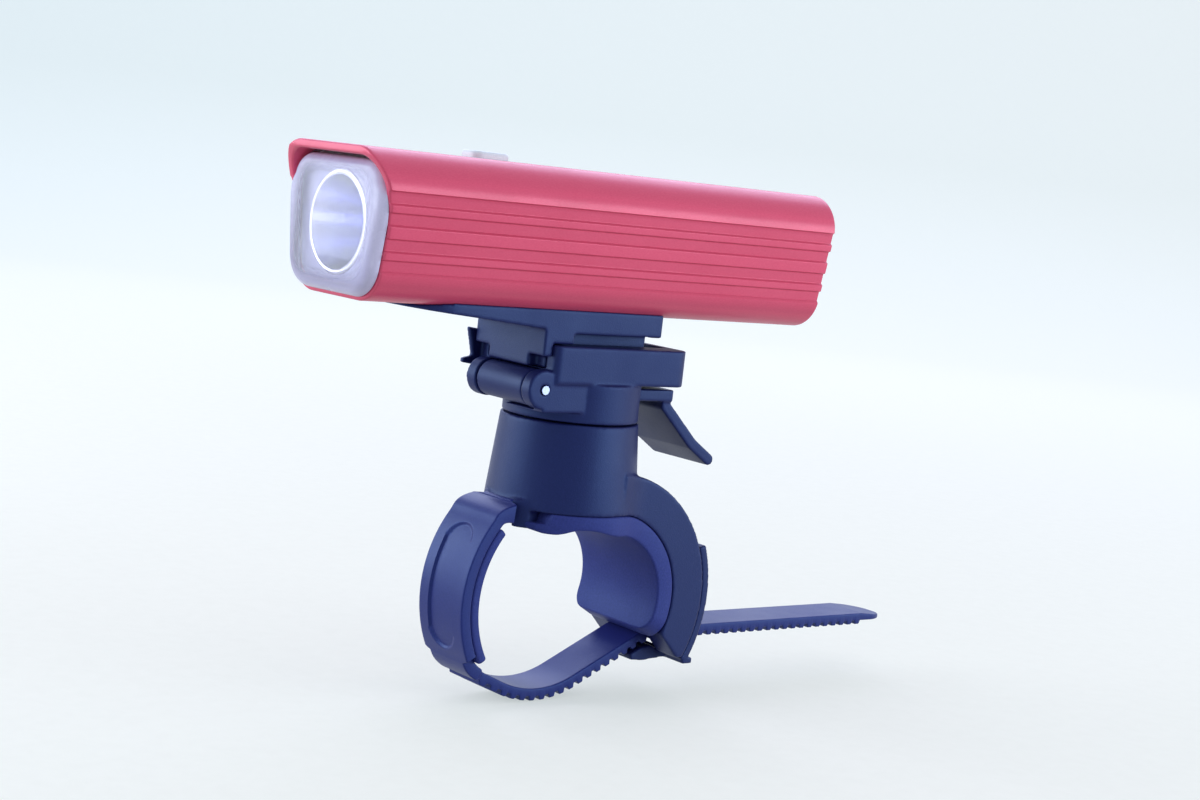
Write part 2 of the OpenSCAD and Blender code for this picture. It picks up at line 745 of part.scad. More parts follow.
module cradle() {
  color(black) difference() {
    union() {
      difference() {
        cradle_block();
        along_x(2 * ear_in) tunnel_side();
        span_x([barrel_x[0] - run_gap, ear_in]) translate([pin_y, pin_z]) circle(ear_r + run_gap);
      }
      span_x(far_ear_x) translate([pin_y, pin_z]) circle(ear_r);
      span_x([-holder_w / 2, lip_t - holder_w / 2]) far_lip();
    }
    translate([-catch_w / 2 - run_gap, catch_y[0] - run_gap, holder_z - cut])
      cube([catch_w + 2 * run_gap, catch_y[1] - catch_y[0] + 4 * run_gap,
            channel_z - holder_z + 2 * cut]);
    bar_x([pin_y, pin_z], pin_d / 2 + turn_clear, holder_w + 2 * cut);
    translate([0, swivel_y, disc_z - spigot_h - cut])
      cylinder(r = screw_r + turn_clear, h = disc_h + spigot_h);
    translate([0, swivel_y, screw_head_z[0]])
      cylinder(r = screw_head_r + 2 * seat_clear, h = disc_top - screw_head_z[0]);
    translate([0, spring_y, spring_z[0] - 0.05]) cylinder(r = spring_r + 0.7, h = disc_h);
  }
}

module release_lever() {
  plate_from = pin_y + ear_r + run_gap + 0.1;
  color(black) difference() {
    union() {
      span_x(barrel_x) {
        translate([pin_y, pin_z]) circle(barrel_r);
        translate([pin_y, lever_z[0]]) square([plate_from - pin_y + cut, lever_z[1] - lever_z[0]]);
      }
      along_x(lever_w) translate([plate_from, lever_z[0]])
        square([plate_end - plate_from, lever_z[1] - lever_z[0]]);
      along_x(lever_w - 0.8) thick_path(paddle_path, paddle_t);
      translate([-catch_w / 2, catch_y[0], lever_z[0]])
        cube([catch_w, catch_y[1] - catch_y[0], foot_z - run_gap - lever_z[0]]);
    }
    bar_x([pin_y, pin_z], pin_d / 2 + turn_clear, lever_w + 2 * cut);
  }
}

module lever_pin() {
  color(steel) span_x([far_ear_x[0], ears_w / 2 + 0.25]) translate([pin_y, pin_z]) circle(pin_d / 2);
}

module lever_spring() {
  rise = spring_z[1] - spring_z[0] - spring_wire;
  echo(lever_spring_gap = coil_gap(spring_wire, spring_turns, rise));
  color(steel) translate([0, spring_y, spring_z[0] + spring_wire / 2])
    coil(spring_r, spring_wire, spring_turns, rise);
}

// Side view of the strap's way through the rear arm, widened above and below
module strap_slot_side(over, under) {
  translate(rise_from) rotate(bend_ends[1] - 270) translate([rise_l / 2, -under])
    square([rise_l / 2 + 0.05, over + under]);
  translate(turn_c) ring([turn_r - under, turn_r + over], [turn_ends[1], turn_ends[0]]);
  translate([turn_c[0] - 0.05, tail_z - under]) square([20, over + under]);
}

// Side view of the rear arm, its lower end cut behind the pad and level below
module arm_side() {
  intersection() {
    ring([seat_r, arm_r], [-45, 90]);
    polygon([[0, 0], polar([0, 0], seat_r - cut, pad_end_a), arm_low, [arm_r + cut, arm_low[1]],
             [arm_r + cut, arm_r + cut], [-arm_r, arm_r + cut]]);
  }
}

// Side view of the nose below the neck's front
module nose_side() {
  polygon([[nose_y[0], nose_z[0]], [nose_y[1], nose_z[0]], [swivel_y, nose_z[1]],
           [nose_y[0] + nose_bevel, nose_z[1]], [nose_y[0], nose_z[1] - nose_bevel]]);
}

// Plan view of the nose, its front corners cut away to follow the neck
module nose_plan() {
  side = nose_w / 2 + cut;
  polygon([[-side, swivel_y], [-side, nose_y[0] + nose_corner], [-eye_w / 2, nose_y[0]],
           [eye_w / 2, nose_y[0]], [side, nose_y[0] + nose_corner], [side, swivel_y]]);
}

// Plan view of the clamp: the neck's foot, drawn out in an arc into the arm's straight sides
module clamp_plan(r) {
  x = clamp_w / 2 + blend_r;
  meet = acos(x / (r + blend_r));
  centre = polar([0, swivel_y], r + blend_r, meet);
  step = 6;
  right = concat([[clamp_w / 2, 2 * arm_r]], arc(centre, blend_r, [180, 180 + meet], 8),
                 arc([0, swivel_y], r, [meet - step, -90], 18));
  left = [for (i = [len(right) - 2 : -1 : 0]) [-right[i][0], right[i][1]]];
  polygon(concat(right, left));
}

module clamp_body() {
  slot_over = strap_t / 2 + strap_clear;
  slot_under = strap_t / 2 + tooth_h + strap_clear;
  color(black) difference() {
    union() {
      intersection() {
        along_x(2 * foot_r) arm_side();
        along_z([-arm_r, arm_r + cut]) clamp_plan(foot_r - root_inset);
      }
      translate([0, swivel_y, saddle_z])
        cylinder(r1 = foot_r, d2 = neck_d, h = neck_top - saddle_z);
      intersection() {
        along_x(nose_w) nose_side();
        along_z([nose_z[0] - cut, nose_z[1] + cut]) nose_plan();
      }
    }
    along_x(2 * foot_r + 2 * cut) translate([nose_y[1], nose_z[0] - cut])
      square([-nose_y[1], saddle_z - nose_z[0] + cut]);
    along_x(strap_w + 2 * strap_clear) strap_slot_side(slot_over, slot_under);
    along_x(pawl_w + 2 * run_gap) translate([seat_r - 3, arm_low[1] - cut])
      square([arm_r - seat_r + 3 + cut, tail_z - arm_low[1] + cut]);
    along_x(knuckle_w + 2 * run_gap) {
      translate(latch_pin_at) circle(knuckle_r + run_gap);
      translate(latch_pin_at) rotate(latch_pin_a) translate([0, -knuckle_r - run_gap - cut])
        square([knuckle_r + 3, 2 * knuckle_r + 2 * run_gap + cut]);
    }
    bar_x(latch_pin_at, latch_pin_d / 2 + seat_clear / 2, clamp_w - 4);
    along_x(eye_w + 2 * seat_clear) {
      translate(strap_eye) circle(strap_eye_r + seat_clear);
      translate([nose_y[0] - cut, nose_z[0] - cut])
        square([strap_eye[0] - nose_y[0] + cut, strap_eye[1] + strap_eye_r - nose_z[0] + cut]);
    }
    bar_x(strap_eye, strap_pin_d / 2 + turn_clear, nose_w - 1.6);
    translate([0, swivel_y, disc_z - spigot_h - 0.5])
      cylinder(r = spigot_r + turn_clear, h = spigot_h + cut);
    translate([0, swivel_y, nut_z[0]]) cylinder(r = screw_r + 0.2, h = neck_top);
    translate([0, swivel_y, saddle_z - 2])
      cylinder(d = nut_af / cos(30) + 0.3, h = nut_z[1] - saddle_z + 2, $fn = 6);
  }
}

module swivel_screw() {
  color(steel) translate([0, swivel_y, 0]) difference() {
    union() {
      translate([0, 0, nut_z[0]]) cylinder(r = screw_r, h = screw_head_z[0] - nut_z[0] + cut);
      translate([0, 0, screw_head_z[0]])
        cylinder(r = screw_head_r, h = screw_head_z[1] - screw_head_z[0]);
    }
    translate([0, 0, screw_head_z[1] - 1.4]) cylinder(d = 3, h = 2, $fn = 6);
  }
}

module swivel_nut() {
  color(steel) translate([0, swivel_y, nut_z[0]]) difference() {
    cylinder(d = nut_af / cos(30), h = nut_z[1] - nut_z[0], $fn = 6);
    translate([0, 0, -cut]) cylinder(r = screw_r + turn_clear, h = 10);
  }
}

module saddle_pad() {
  front = nose_y[1] + run_gap;
  top = saddle_z - seat_clear / 2;
  color(rubber) intersection() {
    along_x(2 * foot_r) {
      ring([pad_r, seat_r - seat_clear / 2], [pad_end_a, 90 + pad_lap]);
      polygon([[0, pad_r + 0.02], [0, seat_r - seat_clear], [-0.1, top], [front, top],
               [front, top - 1.2]]);
      translate([front + 2.4, top - 1.4]) circle(2.2);
    }
    along_z([-arm_r, top]) clamp_plan(foot_r);
  }
}

// Point at a distance and an angle from a centre
function polar(c, r, a) = c + r * [cos(a), sin(a)];

// Corners of a row of teeth along an arc, from one angle to another
function arc_teeth(c, r, rise, a) =
  let (count = round(abs(a[1] - a[0]) * PI / 180 * r / tooth_pitch), step = (a[1] - a[0]) / count)
  [for (i = [0 : count - 1]) let (m = a[0] + (i + 0.5) * step)
    each [polar(c, r, m - tooth_root * step), polar(c, r + rise, m - tooth_tip * step),
          polar(c, r + rise, m + tooth_tip * step), polar(c, r, m + tooth_root * step)]];

// Corners of a row of teeth along a straight, from a start, along u and rising along n
function line_teeth(from, u, n, length) =
  let (count = round(length / tooth_pitch), step = length / count)
  [for (i = [0 : count - 1]) let (m = (i + 0.5) * step)
    each [from + (m - tooth_root * step) * u, from + (m - tooth_tip * step) * u + tooth_h * n,
          from + (m + tooth_tip * step) * u + tooth_h * n, from + (m + tooth_root * step) * u]];

// Points along an arc
function arc(c, r, a, steps) = [for (i = [0 : steps]) polar(c, r, a[0] + (a[1] - a[0]) * i / steps)];

// Side view of the toothed strap: the toothed face to the tip, and the smooth face back
module strap_side() {
  half = strap_t / 2;
  tail_from = [turn_c[0], tail_z - half];
  toothed = concat(line_teeth(fall_from + half * fall_n, fall_u, fall_n, fall_l),
                   arc_teeth(bend_c, bend_r + half, tooth_h, bend_ends),
                   line_teeth(rise_from + half * rise_n, rise_u, rise_n, rise_l),
                   arc_teeth(turn_c, turn_r - half, -tooth_h, turn_ends),
                   line_teeth(tail_from, [1, 0], [0, -1], tail_end - tail_taper - turn_c[0]));
  tip = [[tail_end, tail_z - half], [tail_end, tail_z - 0.2 * half],
         [tail_end - tail_taper, tail_z + half]];
  smooth = concat(arc(turn_c, turn_r + half, [turn_ends[1], turn_ends[0]], 12),
                  arc(bend_c, bend_r - half, [bend_ends[1], bend_ends[0]], 16),
                  [fall_from - half * fall_n]);
  polygon(concat(toothed, tip, smooth));
}

// Side view of the strap's root between the front arm and the nose
module root_side() {
  arm_top = front_arm_ends[0] + 0.4;
  polygon([polar(front_arm_c, front_arm_r - 0.1, arm_top),
           [nose_y[0] - run_gap, strap_eye[1] + strap_eye_r - 0.5],
           [nose_y[0] - run_gap, strap_eye[1] - strap_eye_r + 0.2],
           polar(front_arm_c, front_arm_r - front_arm_t + 0.1, arm_top)]);
}

module strap() {
  arm_tip = polar(front_arm_c, front_arm_r - front_arm_t / 2, heel_end);
  root_from = nose_y[0] - run_gap - cut;
  color(black) difference() {
    union() {
      along_x(strap_w) strap_side();
      along_x(front_arm_w) {
        translate(front_arm_c) ring([front_arm_r - front_arm_t, front_arm_r], front_arm_ends);
        root_side();
      }
      along_x(strap_w + 1) {
        translate(front_arm_c)
          ring([front_arm_r - front_arm_t, front_arm_r], [front_arm_ends[1] - 1, heel_end]);
        translate((arm_tip + fall_from) / 2) circle(norm(fall_from - arm_tip) / 2 + knuckle_swell);
      }
      along_x(eye_w) {
        translate(strap_eye) circle(strap_eye_r);
        translate([root_from, strap_eye[1] - strap_eye_r + 0.3])
          square([strap_eye[0] - root_from, 2 * strap_eye_r - 0.9]);
      }
    }
    bar_x(strap_eye, strap_pin_d / 2 + turn_clear, front_arm_w);
    along_x(panel_w) translate(front_arm_c)
      ring([front_arm_r - panel_depth, front_arm_r + cut], panel_ends);
    for (a = panel_ends) translate([0, front_arm_c[0], front_arm_c[1]]) rotate([a, 0, 0])
      translate([0, front_arm_r - panel_depth - panel_sink, 0]) rotate([-90, 15, 0])
        cylinder(r = (panel_w / 2 - panel_sink) / cos(15), h = 2 * cut, $fn = 12);
    along_z([tail_z - 3, tail_z + 3]) difference() {
      translate([-strap_w, tail_end - strap_w / 2]) square([2 * strap_w, strap_w]);
      translate([0, tail_end - strap_w / 2]) circle(strap_w / 2);
    }
  }
}

module strap_pin() {
  color(steel) bar_x(strap_eye, strap_pin_d / 2, nose_w - 2);
}

module strap_pad() {
  outer = front_arm_r - front_arm_t - 0.05;
  inner = outer - strap_pad_t;
  color(rubber) along_x(front_arm_w) translate(front_arm_c) {
    ring([inner, outer], strap_pad_ends);
    rotate(strap_pad_ends[1]) translate([(inner + outer) / 2, 0]) circle(strap_pad_t / 2);
  }
}

// Side view of the pawl: it rises under the strap's teeth and joins the bar
module pawl_side() {
  below = strap_t / 2 + tooth_h + run_gap;
  top = rise_to + below * rise_n;
  polygon([top - 2.6 * rise_u, top, top + [2.4, 0.5], [latch_bar_y[0], latch_bar_z[1]],
           [latch_bar_y[0] + cut, latch_bar_z[0]], [top[0] + 0.8, latch_bar_z[0] - 0.5],
           [top[0] - 2.2, latch_bar_z[0] - 0.2]]);
}

module ratchet_latch() {
  color(black) difference() {
    union() {
      along_x(latch_w) {
        ring([latch_r, latch_r + latch_t], latch_ends);
        translate([latch_bar_y[0], latch_bar_z[0]])
          square([latch_bar_y[1] - latch_bar_y[0], latch_bar_z[1] - latch_bar_z[0]]);
      }
      along_x(knuckle_w) {
        translate(latch_pin_at) circle(knuckle_r);
        translate(latch_pin_at) rotate(latch_pin_a - 16) translate([0, -knuckle_r])
          square([knuckle_r + 1.4, knuckle_r]);
      }
      along_x(pawl_w) pawl_side();
    }
    along_x(strap_w + 1.4) translate([latch_bar_y[0], latch_window_z[0]])
      square([latch_r + latch_t - latch_bar_y[0] + cut, latch_window_z[1] - latch_window_z[0]]);
    bar_x(latch_pin_at, latch_pin_d / 2 + turn_clear, clamp_w);
    along_x(6) translate(latch_pin_at) circle(knuckle_r + 0.4);
  }
}

module latch_pin() {
  color(steel) bar_x(latch_pin_at, latch_pin_d / 2, clamp_w - 4.4);
}

module latch_spring() {
  wire = 0.45;
  rise = 4.2;
  turns = 4;
  echo(latch_spring_gap = coil_gap(wire, turns, rise));
  color(steel) translate([-rise / 2, latch_pin_at[0], latch_pin_at[1]]) rotate([0, 90, 0])
    coil(latch_pin_d / 2 + wire / 2 + 0.2, wire, turns, rise);
}

housing();
front_lens();
lens_gasket();
reflector();
led_emitter();
led_board();
led_carrier();
battery_cell();
cell_tray();
circuit_board();
tact_switch();
power_button();
usb_socket();
rear_cap();
rear_gasket();
rear_cap_screws();
usb_cover();
mount_shoe();
shoe_screws();
cradle();
release_lever();
lever_pin();
lever_spring();
clamp_body();
swivel_screw();
swivel_nut();
saddle_pad();
strap();
strap_pin();
strap_pad();
ratchet_latch();
latch_pin();
latch_spring();
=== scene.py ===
# %% [markdown]
# # Bicycle headlight on a strap-clamped handlebar bracket
# The lamp is a grooved, red anodised tube with a clear front. It slides onto a black moulded
# head, and the head turns on a clamp that closes round the handlebar with a toothed strap.
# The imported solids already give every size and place, so this lesson loads them first and
# then adds the finishes, and the few pieces whose soft edges a solid model leaves out.

import bmesh
import bpy
import numpy as np
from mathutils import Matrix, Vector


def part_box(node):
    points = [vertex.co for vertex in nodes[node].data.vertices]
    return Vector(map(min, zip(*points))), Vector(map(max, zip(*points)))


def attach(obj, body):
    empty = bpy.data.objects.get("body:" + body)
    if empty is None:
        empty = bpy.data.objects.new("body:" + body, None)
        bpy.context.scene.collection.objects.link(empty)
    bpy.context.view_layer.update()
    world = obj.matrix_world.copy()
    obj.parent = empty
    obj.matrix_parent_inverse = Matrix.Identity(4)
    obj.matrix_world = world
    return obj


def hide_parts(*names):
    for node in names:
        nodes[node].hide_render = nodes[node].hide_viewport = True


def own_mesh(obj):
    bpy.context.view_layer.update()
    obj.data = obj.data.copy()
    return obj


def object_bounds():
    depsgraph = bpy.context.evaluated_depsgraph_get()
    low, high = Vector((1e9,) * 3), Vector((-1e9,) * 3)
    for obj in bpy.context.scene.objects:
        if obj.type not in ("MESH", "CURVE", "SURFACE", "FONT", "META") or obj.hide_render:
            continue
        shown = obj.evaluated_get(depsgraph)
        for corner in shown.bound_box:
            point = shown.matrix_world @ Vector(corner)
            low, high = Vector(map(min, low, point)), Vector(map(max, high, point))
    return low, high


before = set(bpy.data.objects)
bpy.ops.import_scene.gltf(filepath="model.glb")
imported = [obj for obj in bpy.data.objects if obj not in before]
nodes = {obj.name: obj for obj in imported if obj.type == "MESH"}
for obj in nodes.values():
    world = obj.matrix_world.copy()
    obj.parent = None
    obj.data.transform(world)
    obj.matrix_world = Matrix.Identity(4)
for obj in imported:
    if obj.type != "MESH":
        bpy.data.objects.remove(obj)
cad_box = [[float(c) for c in corner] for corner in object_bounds()]
MM = 0.001
print("solids:", len(nodes), "box in mm:", np.round(np.array(cad_box) / MM, 1).tolist())

# %% [markdown]
# ## The camera
# The photograph looks at the lamp's front right, a little from above, and the camera leans to
# one side, so level edges fall to the right. A turn matrix built from three axes says that
# directly, where Euler angles would hide it: the first axis points to the image's right, the
# second up, and the third back towards the camera.

# %% Camera at the photograph's place
azimuth, elevation, lean = np.radians([50.3, 6.25, 6.5])
back = np.array([np.sin(azimuth) * np.cos(elevation), -np.cos(azimuth) * np.cos(elevation),
                 np.sin(elevation)])
level_right = np.array([np.cos(azimuth), np.sin(azimuth), 0.0])
level_up = np.cross(back, level_right)
image_right = np.cos(lean) * level_right + np.sin(lean) * level_up
image_up = np.cos(lean) * level_up - np.sin(lean) * level_right

camera = bpy.data.objects.new("camera", bpy.data.cameras.new("camera"))
bpy.context.scene.collection.objects.link(camera)
camera.data.lens, camera.data.sensor_width = 62.7, 36
camera.data.clip_start, camera.data.clip_end = 0.01, 20
turn = np.eye(4)
turn[:3, :3] = np.stack([image_right, image_up, back], 1)
turn[:3, 3] = (0.30975, -0.25447, 0.08099)
camera.matrix_world = turn.T.tolist()
bpy.context.scene.camera = camera
print("camera stands at", np.round(np.array(camera.matrix_world.translation), 3).tolist())

# %% [markdown]
# ## Surfaces from grids
# Each new piece is a grid of points, worked out with numpy, and one function turns any grid
# into a mesh. A direction that comes back to its start is wrapped, so it has no seam. A row
# whose points all meet is a pole, and merging the points there closes it.

# %% Grid to mesh
def surface(name, points, wrap_rows=False, wrap_columns=True, crease=35):
    """Joins the points of a grid by quads; points in mm, rows first. Neighbouring rows i, i+1
    and columns j, j+1 make one face. Points that coincide are merged, so poles and folded ends
    close, and edges that turn by more than the crease angle stay sharp."""
    rows, columns = points.shape[:2]
    index = np.arange(rows * columns).reshape(rows, columns)
    if wrap_rows:
        index = np.vstack([index, index[:1]])
    if wrap_columns:
        index = np.hstack([index, index[:, :1]])
    quads = np.stack([index[:-1, :-1], index[:-1, 1:], index[1:, 1:], index[1:, :-1]], -1)
    mesh = bpy.data.meshes.new(name)
    mesh.from_pydata((points.reshape(-1, 3) * MM).tolist(), [], quads.reshape(-1, 4).tolist())
    work = bmesh.new()
    work.from_mesh(mesh)
    bmesh.ops.remove_doubles(work, verts=work.verts, dist=2e-6)
    bmesh.ops.dissolve_degenerate(work, edges=work.edges, dist=1e-7)
    bmesh.ops.recalc_face_normals(work, faces=work.faces)
    work.to_mesh(mesh)
    work.free()
    mesh.polygons.foreach_set("use_smooth", np.ones(len(mesh.polygons), bool))
    mesh.set_sharp_from_angle(angle=np.radians(crease))
    piece = bpy.data.objects.new(name, mesh)
    bpy.context.scene.collection.objects.link(piece)
    print(name, "has", len(mesh.polygons), "faces")
    return piece


def settle(piece, body, slot, *stands_for):
    """Says which body carries the piece and which solids it stands for, if it stands for any. The slot,
    which would name its finish, is not used."""
    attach(piece, body)
    if stands_for:
        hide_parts(*stands_for)
    return piece


def ease(t):
    """Smooth step: 0 below 0, 1 above 1, and 3t^2 - 2t^3 between."""
    t = np.clip(t, 0, 1)
    return t * t * (3 - 2 * t)


# %% [markdown]
# ## The lamp's outline
# Seen from the front, the tube is a rounded box, a little narrower at the bottom. Its outline
# is the same for the shell, the lens and the seals, only moved inwards. A straight side and a
# quarter circle in turn give it exactly, and each point also keeps its outward direction, so
# moving inwards is one subtraction.

# %% Outline of the lamp
lamp_low, lamp_high = (np.array(c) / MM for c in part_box("housing"))
lamp_h, lamp_z, top_w, bottom_w, corner, wall = 26.4, lamp_low[2], 33.0, 29.0, 7.0, 1.6
high_c = np.array([top_w / 2 - corner, lamp_h - corner])
low_c = np.array([bottom_w / 2 - corner, corner])
side_u = (high_c - low_c) / np.linalg.norm(high_c - low_c)
side_n = np.array([side_u[1], -side_u[0]])


def half_outline(corner_steps, side_steps, flat_steps):
    """Right half of the outline from bottom middle to top middle: for each point the centre of
    its rounding and its outward direction. A point is centre + radius * direction."""
    lean_a = np.arctan2(side_n[1], side_n[0])
    low_a = np.linspace(-np.pi / 2, lean_a, corner_steps)
    high_a = np.linspace(lean_a, np.pi / 2, corner_steps)
    share = np.linspace(0, 1, side_steps + 2)[1:-1, None]
    flat = np.linspace(0, 1, flat_steps, endpoint=False)[:, None]
    centre = np.vstack([flat * low_c * [1, 0] + [0, low_c[1]],
                        np.tile(low_c, (corner_steps, 1)), low_c + share * (high_c - low_c),
                        np.tile(high_c, (corner_steps, 1)),
                        (1 - flat[1:]) * high_c * [1, 0] + [0, high_c[1]]])
    out = np.vstack([np.tile([0, -1], (flat_steps, 1)),
                     np.stack([np.cos(low_a), np.sin(low_a)], 1),
                     np.tile(side_n, (side_steps, 1)),
                     np.stack([np.cos(high_a), np.sin(high_a)], 1),
                     np.tile([0, 1], (flat_steps - 1, 1))])
    return centre, out


def whole(half_centre, half_out):
    """The right half followed by the left one, its mirror image read backwards."""
    flip = np.array([-1, 1])
    return (np.vstack([half_centre, [[0, high_c[1]]], (half_centre * flip)[:0:-1]]),
            np.vstack([half_out, [[0, 1]], (half_out * flip)[:0:-1]]))


shell_centre, shell_out = whole(*half_outline(40, 190, 8))
clear_centre, clear_out = whole(*half_outline(20, 16, 6))
print("outline points on the shell:", len(shell_out), "on the lens:", len(clear_out))

# %% [markdown]
# ## The front edge
# The tube's front is not cut square: below, the edge stands back, and towards the top it
# curves forward into a visor. The edge's place along the lamp depends on height alone, as the
# side view of a round cutter, so both the shell and the lens can ask one function for it.

# %% Scooped front edge
visor_y, rear_y = lamp_low[1], lamp_high[1]
scoop_depth, scoop_r, scoop_z = 3.8, 25.0, lamp_z + 11.8
scoop_y = visor_y + scoop_depth


def front_edge(z):
    """Level with the scoop below its middle, and above it on a circle of the scoop's radius
    that bends forward; it ends at the visor's flat tip."""
    rise = np.clip(z - scoop_z, 0, scoop_r * 0.9)
    return np.maximum(visor_y, scoop_y - scoop_r + np.sqrt(scoop_r ** 2 - rise ** 2))


print("front edge from", np.round(front_edge(np.array([lamp_z, lamp_z + lamp_h])), 1).tolist())

# %% [markdown]
# ## The shell with its grooves
# The real tube is an extrusion: four shallow grooves run along each side and end in the cut
# faces, where they show as scallops. A modelled box with cuts has knife edges, which catch no
# light. Here the wall's own section is the second parameter: round the front lip, back along
# the outside, round the rear lip and forward along the inside, so every edge has a true
# radius and the surface closes on itself.

# %% Shell of the lamp
groove_at, groove_w, groove_depth, flank = (5.4, 9.05, 13.5, 17.15), 2.2, 0.5, 0.4
side_start = low_c + corner * side_n


def groove_shift(points):
    """How far a point of the outer outline moves in: the groove's floor is a line parallel to
    the side, and its flanks are smooth steps on both sides of the groove."""
    along = (points - side_start) @ side_u
    proud = (points - side_start) @ side_n
    mask = np.zeros(len(points))
    for height in groove_at:
        from_low = along - (height - side_start[1]) / side_u[1]
        into, out_of = ease(from_low / flank + 0.5), ease((groove_w - from_low) / flank + 0.5)
        mask = np.maximum(mask, into * out_of)
    return np.minimum(0, -groove_depth * mask - proud) * (mask > 0)


def lip(radius, steps):
    """Section of a wall's end: pairs of inset and distance from the end, over two quarter
    circles of the lip's radius with the flat between them."""
    a = np.linspace(0, np.pi / 2, steps)
    first = np.stack([radius * (1 - np.cos(a)), radius * (1 - np.sin(a))], 1)
    return np.vstack([first, np.stack([wall - first[::-1, 0], first[::-1, 1]], 1)])


mirror = np.sign(shell_centre[:, :1] + corner * shell_out[:, :1])
to_right = np.hstack([mirror, np.ones_like(mirror)])
groove = groove_shift((shell_centre + corner * shell_out) * to_right)
groove_dir = to_right * side_n

front_lip, rear_lip = lip(0.45, 6), lip(0.4, 5)
run = np.linspace(0.012, 0.988, 40)
rows = [(inset, "front", away) for inset, away in front_lip[::-1]]
rows += [(0.0, "between", share) for share in run]
rows += [(inset, "rear", away) for inset, away in rear_lip]
rows += [(wall, "between", share) for share in run[::-4]]

grid = np.zeros((len(rows), len(shell_out), 3))
for k, (inset, where, value) in enumerate(rows):
    flat = shell_centre + (corner - inset) * shell_out
    flat = flat + (groove * (1 - inset / wall))[:, None] * groove_dir
    height = flat[:, 1] + lamp_z
    edge = front_edge(height)
    place = {"front": edge + value, "rear": rear_y - value + 0 * edge,
             "between": edge + value * (rear_y - edge)}[where]
    grid[k] = np.stack([flat[:, 0], place, height], 1)
shell = surface("lamp_shell", grid, wrap_rows=True)

# %% [markdown]
# ## The button's hole
# A grid has no holes. The button's hole and the four screw holes under the lamp are cut with
# one Boolean, whose cutters are simple grids too, and the result becomes the shell's own mesh.

# %% Cut the holes in the shell
def rounded_plan(width, length, radius, steps=8):
    """Rounded rectangle about the origin: quarter circles round the four corner centres."""
    a = np.linspace(0, np.pi / 2, steps)
    quarter = np.stack([np.cos(a), np.sin(a)], 1)
    turns = [np.array([[np.cos(t), -np.sin(t)], [np.sin(t), np.cos(t)]])
             for t in np.arange(4) * np.pi / 2]
    reach = [width / 2 - radius, length / 2 - radius]
    corners = np.array([[1, 1], [-1, 1], [-1, -1], [1, -1]]) * reach
    return np.vstack([c + radius * quarter @ t.T for c, t in zip(corners, turns)])


def plug(name, plan, at, low, high):
    """Closed column: the plan at its foot and top, with a pole in the middle of both ends."""
    middle = np.repeat(plan.mean(0)[None], len(plan), 0)
    layers = [(middle, low), (plan, low), (plan, high), (middle, high)]
    return surface(name, np.stack([np.column_stack([p[:, 0] + at[0], p[:, 1] + at[1],
                                                    np.full(len(p), z)]) for p, z in layers]))


button_box = [np.array(c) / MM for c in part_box("power_button")]
button_y = (button_box[0][1] + button_box[1][1]) / 2
circle_a = np.linspace(0, 2 * np.pi, 24, endpoint=False)
screw_hole = 1.3 * np.stack([np.cos(circle_a), np.sin(circle_a)], 1)
cutters = [plug("cut_button", rounded_plan(5.8, 8.4, 1.9), (0, button_y), lamp_z + 22, lamp_z + 30)]
cutters += [plug("cut_screw", screw_hole, (side * x, y), lamp_z - 2, lamp_z + 3)
            for x, y in ((5, -24.9), (8.4, 3.1)) for side in (-1, 1)]
for cutter in cutters:
    cutting = shell.modifiers.new("hole", "BOOLEAN")
    cutting.object, cutting.operation, cutting.solver = cutter, "DIFFERENCE", "EXACT"
solid_view = bpy.context.evaluated_depsgraph_get()
cut_mesh = bpy.data.meshes.new_from_object(shell.evaluated_get(solid_view))
shell.modifiers.clear()
shell.data = cut_mesh
for cutter in cutters:
    bpy.data.objects.remove(cutter)
settle(shell, "lamp", "red_anodised", "housing")
print("shell with holes:", len(shell.data.polygons), "faces")

# %% [markdown]
# ## The clear front
# The lens is a thick clear cover. In front of the shell's edge it swells to almost the shell's
# own width, behind it a narrower skirt sits inside the wall, and its back is hollow. One path
# of insets runs from the middle of the front face, round its soft edge, back along the skirt
# and forward again inside to the middle of the hollow, which leaves a pole at each end.

# %% Clear lens
lens_y = scoop_y - 2.0
lens_back, rim, fit, plate, lens_round = lens_y + 6.4, 0.8, wall + 0.1, 2.2, 1.85
optic_z = lamp_h / 2 - 0.4


def lens_row(inset, place, scale=1.0):
    """Outline moved in by the inset and drawn towards the lens's middle by a scale."""
    flat = clear_centre + (corner - inset)[:, None] * clear_out
    flat = (flat - [0, optic_z]) * scale + [0, optic_z]
    return np.stack([flat[:, 0], place, flat[:, 1] + lamp_z], 1)


edge_here = front_edge(clear_centre[:, 1] + corner * clear_out[:, 1] + lamp_z)
ahead = ease((edge_here - 0.1 - lens_y) / 1.7)
wide = fit + (rim - fit) * ahead + 0.6 * (1 - ahead)
even = np.ones(len(clear_out))
back_of_wide = np.maximum(edge_here - 0.1, lens_y + 0.1)
round_end = np.maximum(back_of_wide, lens_y + lens_round * ease((0.8 - ahead) / 0.5))


def front_path(lift):
    """Rows over the lens's front, lifted off it: from the middle out to the edge, then round a
    quarter circle of the edge's radius plus the lift, no further back than the rounding ends."""
    path = [lens_row(wide + lens_round, even * (lens_y - lift), s)
            for s in (0.0, 0.2, 0.4, 0.6, 0.8, 0.93)]
    for a in np.radians([90, 70, 50, 30, 12, 0]):
        back_to = lens_y + lens_round - (lens_round + lift) * np.sin(a)
        path.append(lens_row(wide + lens_round - (lens_round + lift) * np.cos(a),
                             np.minimum(back_to, round_end)))
    return path


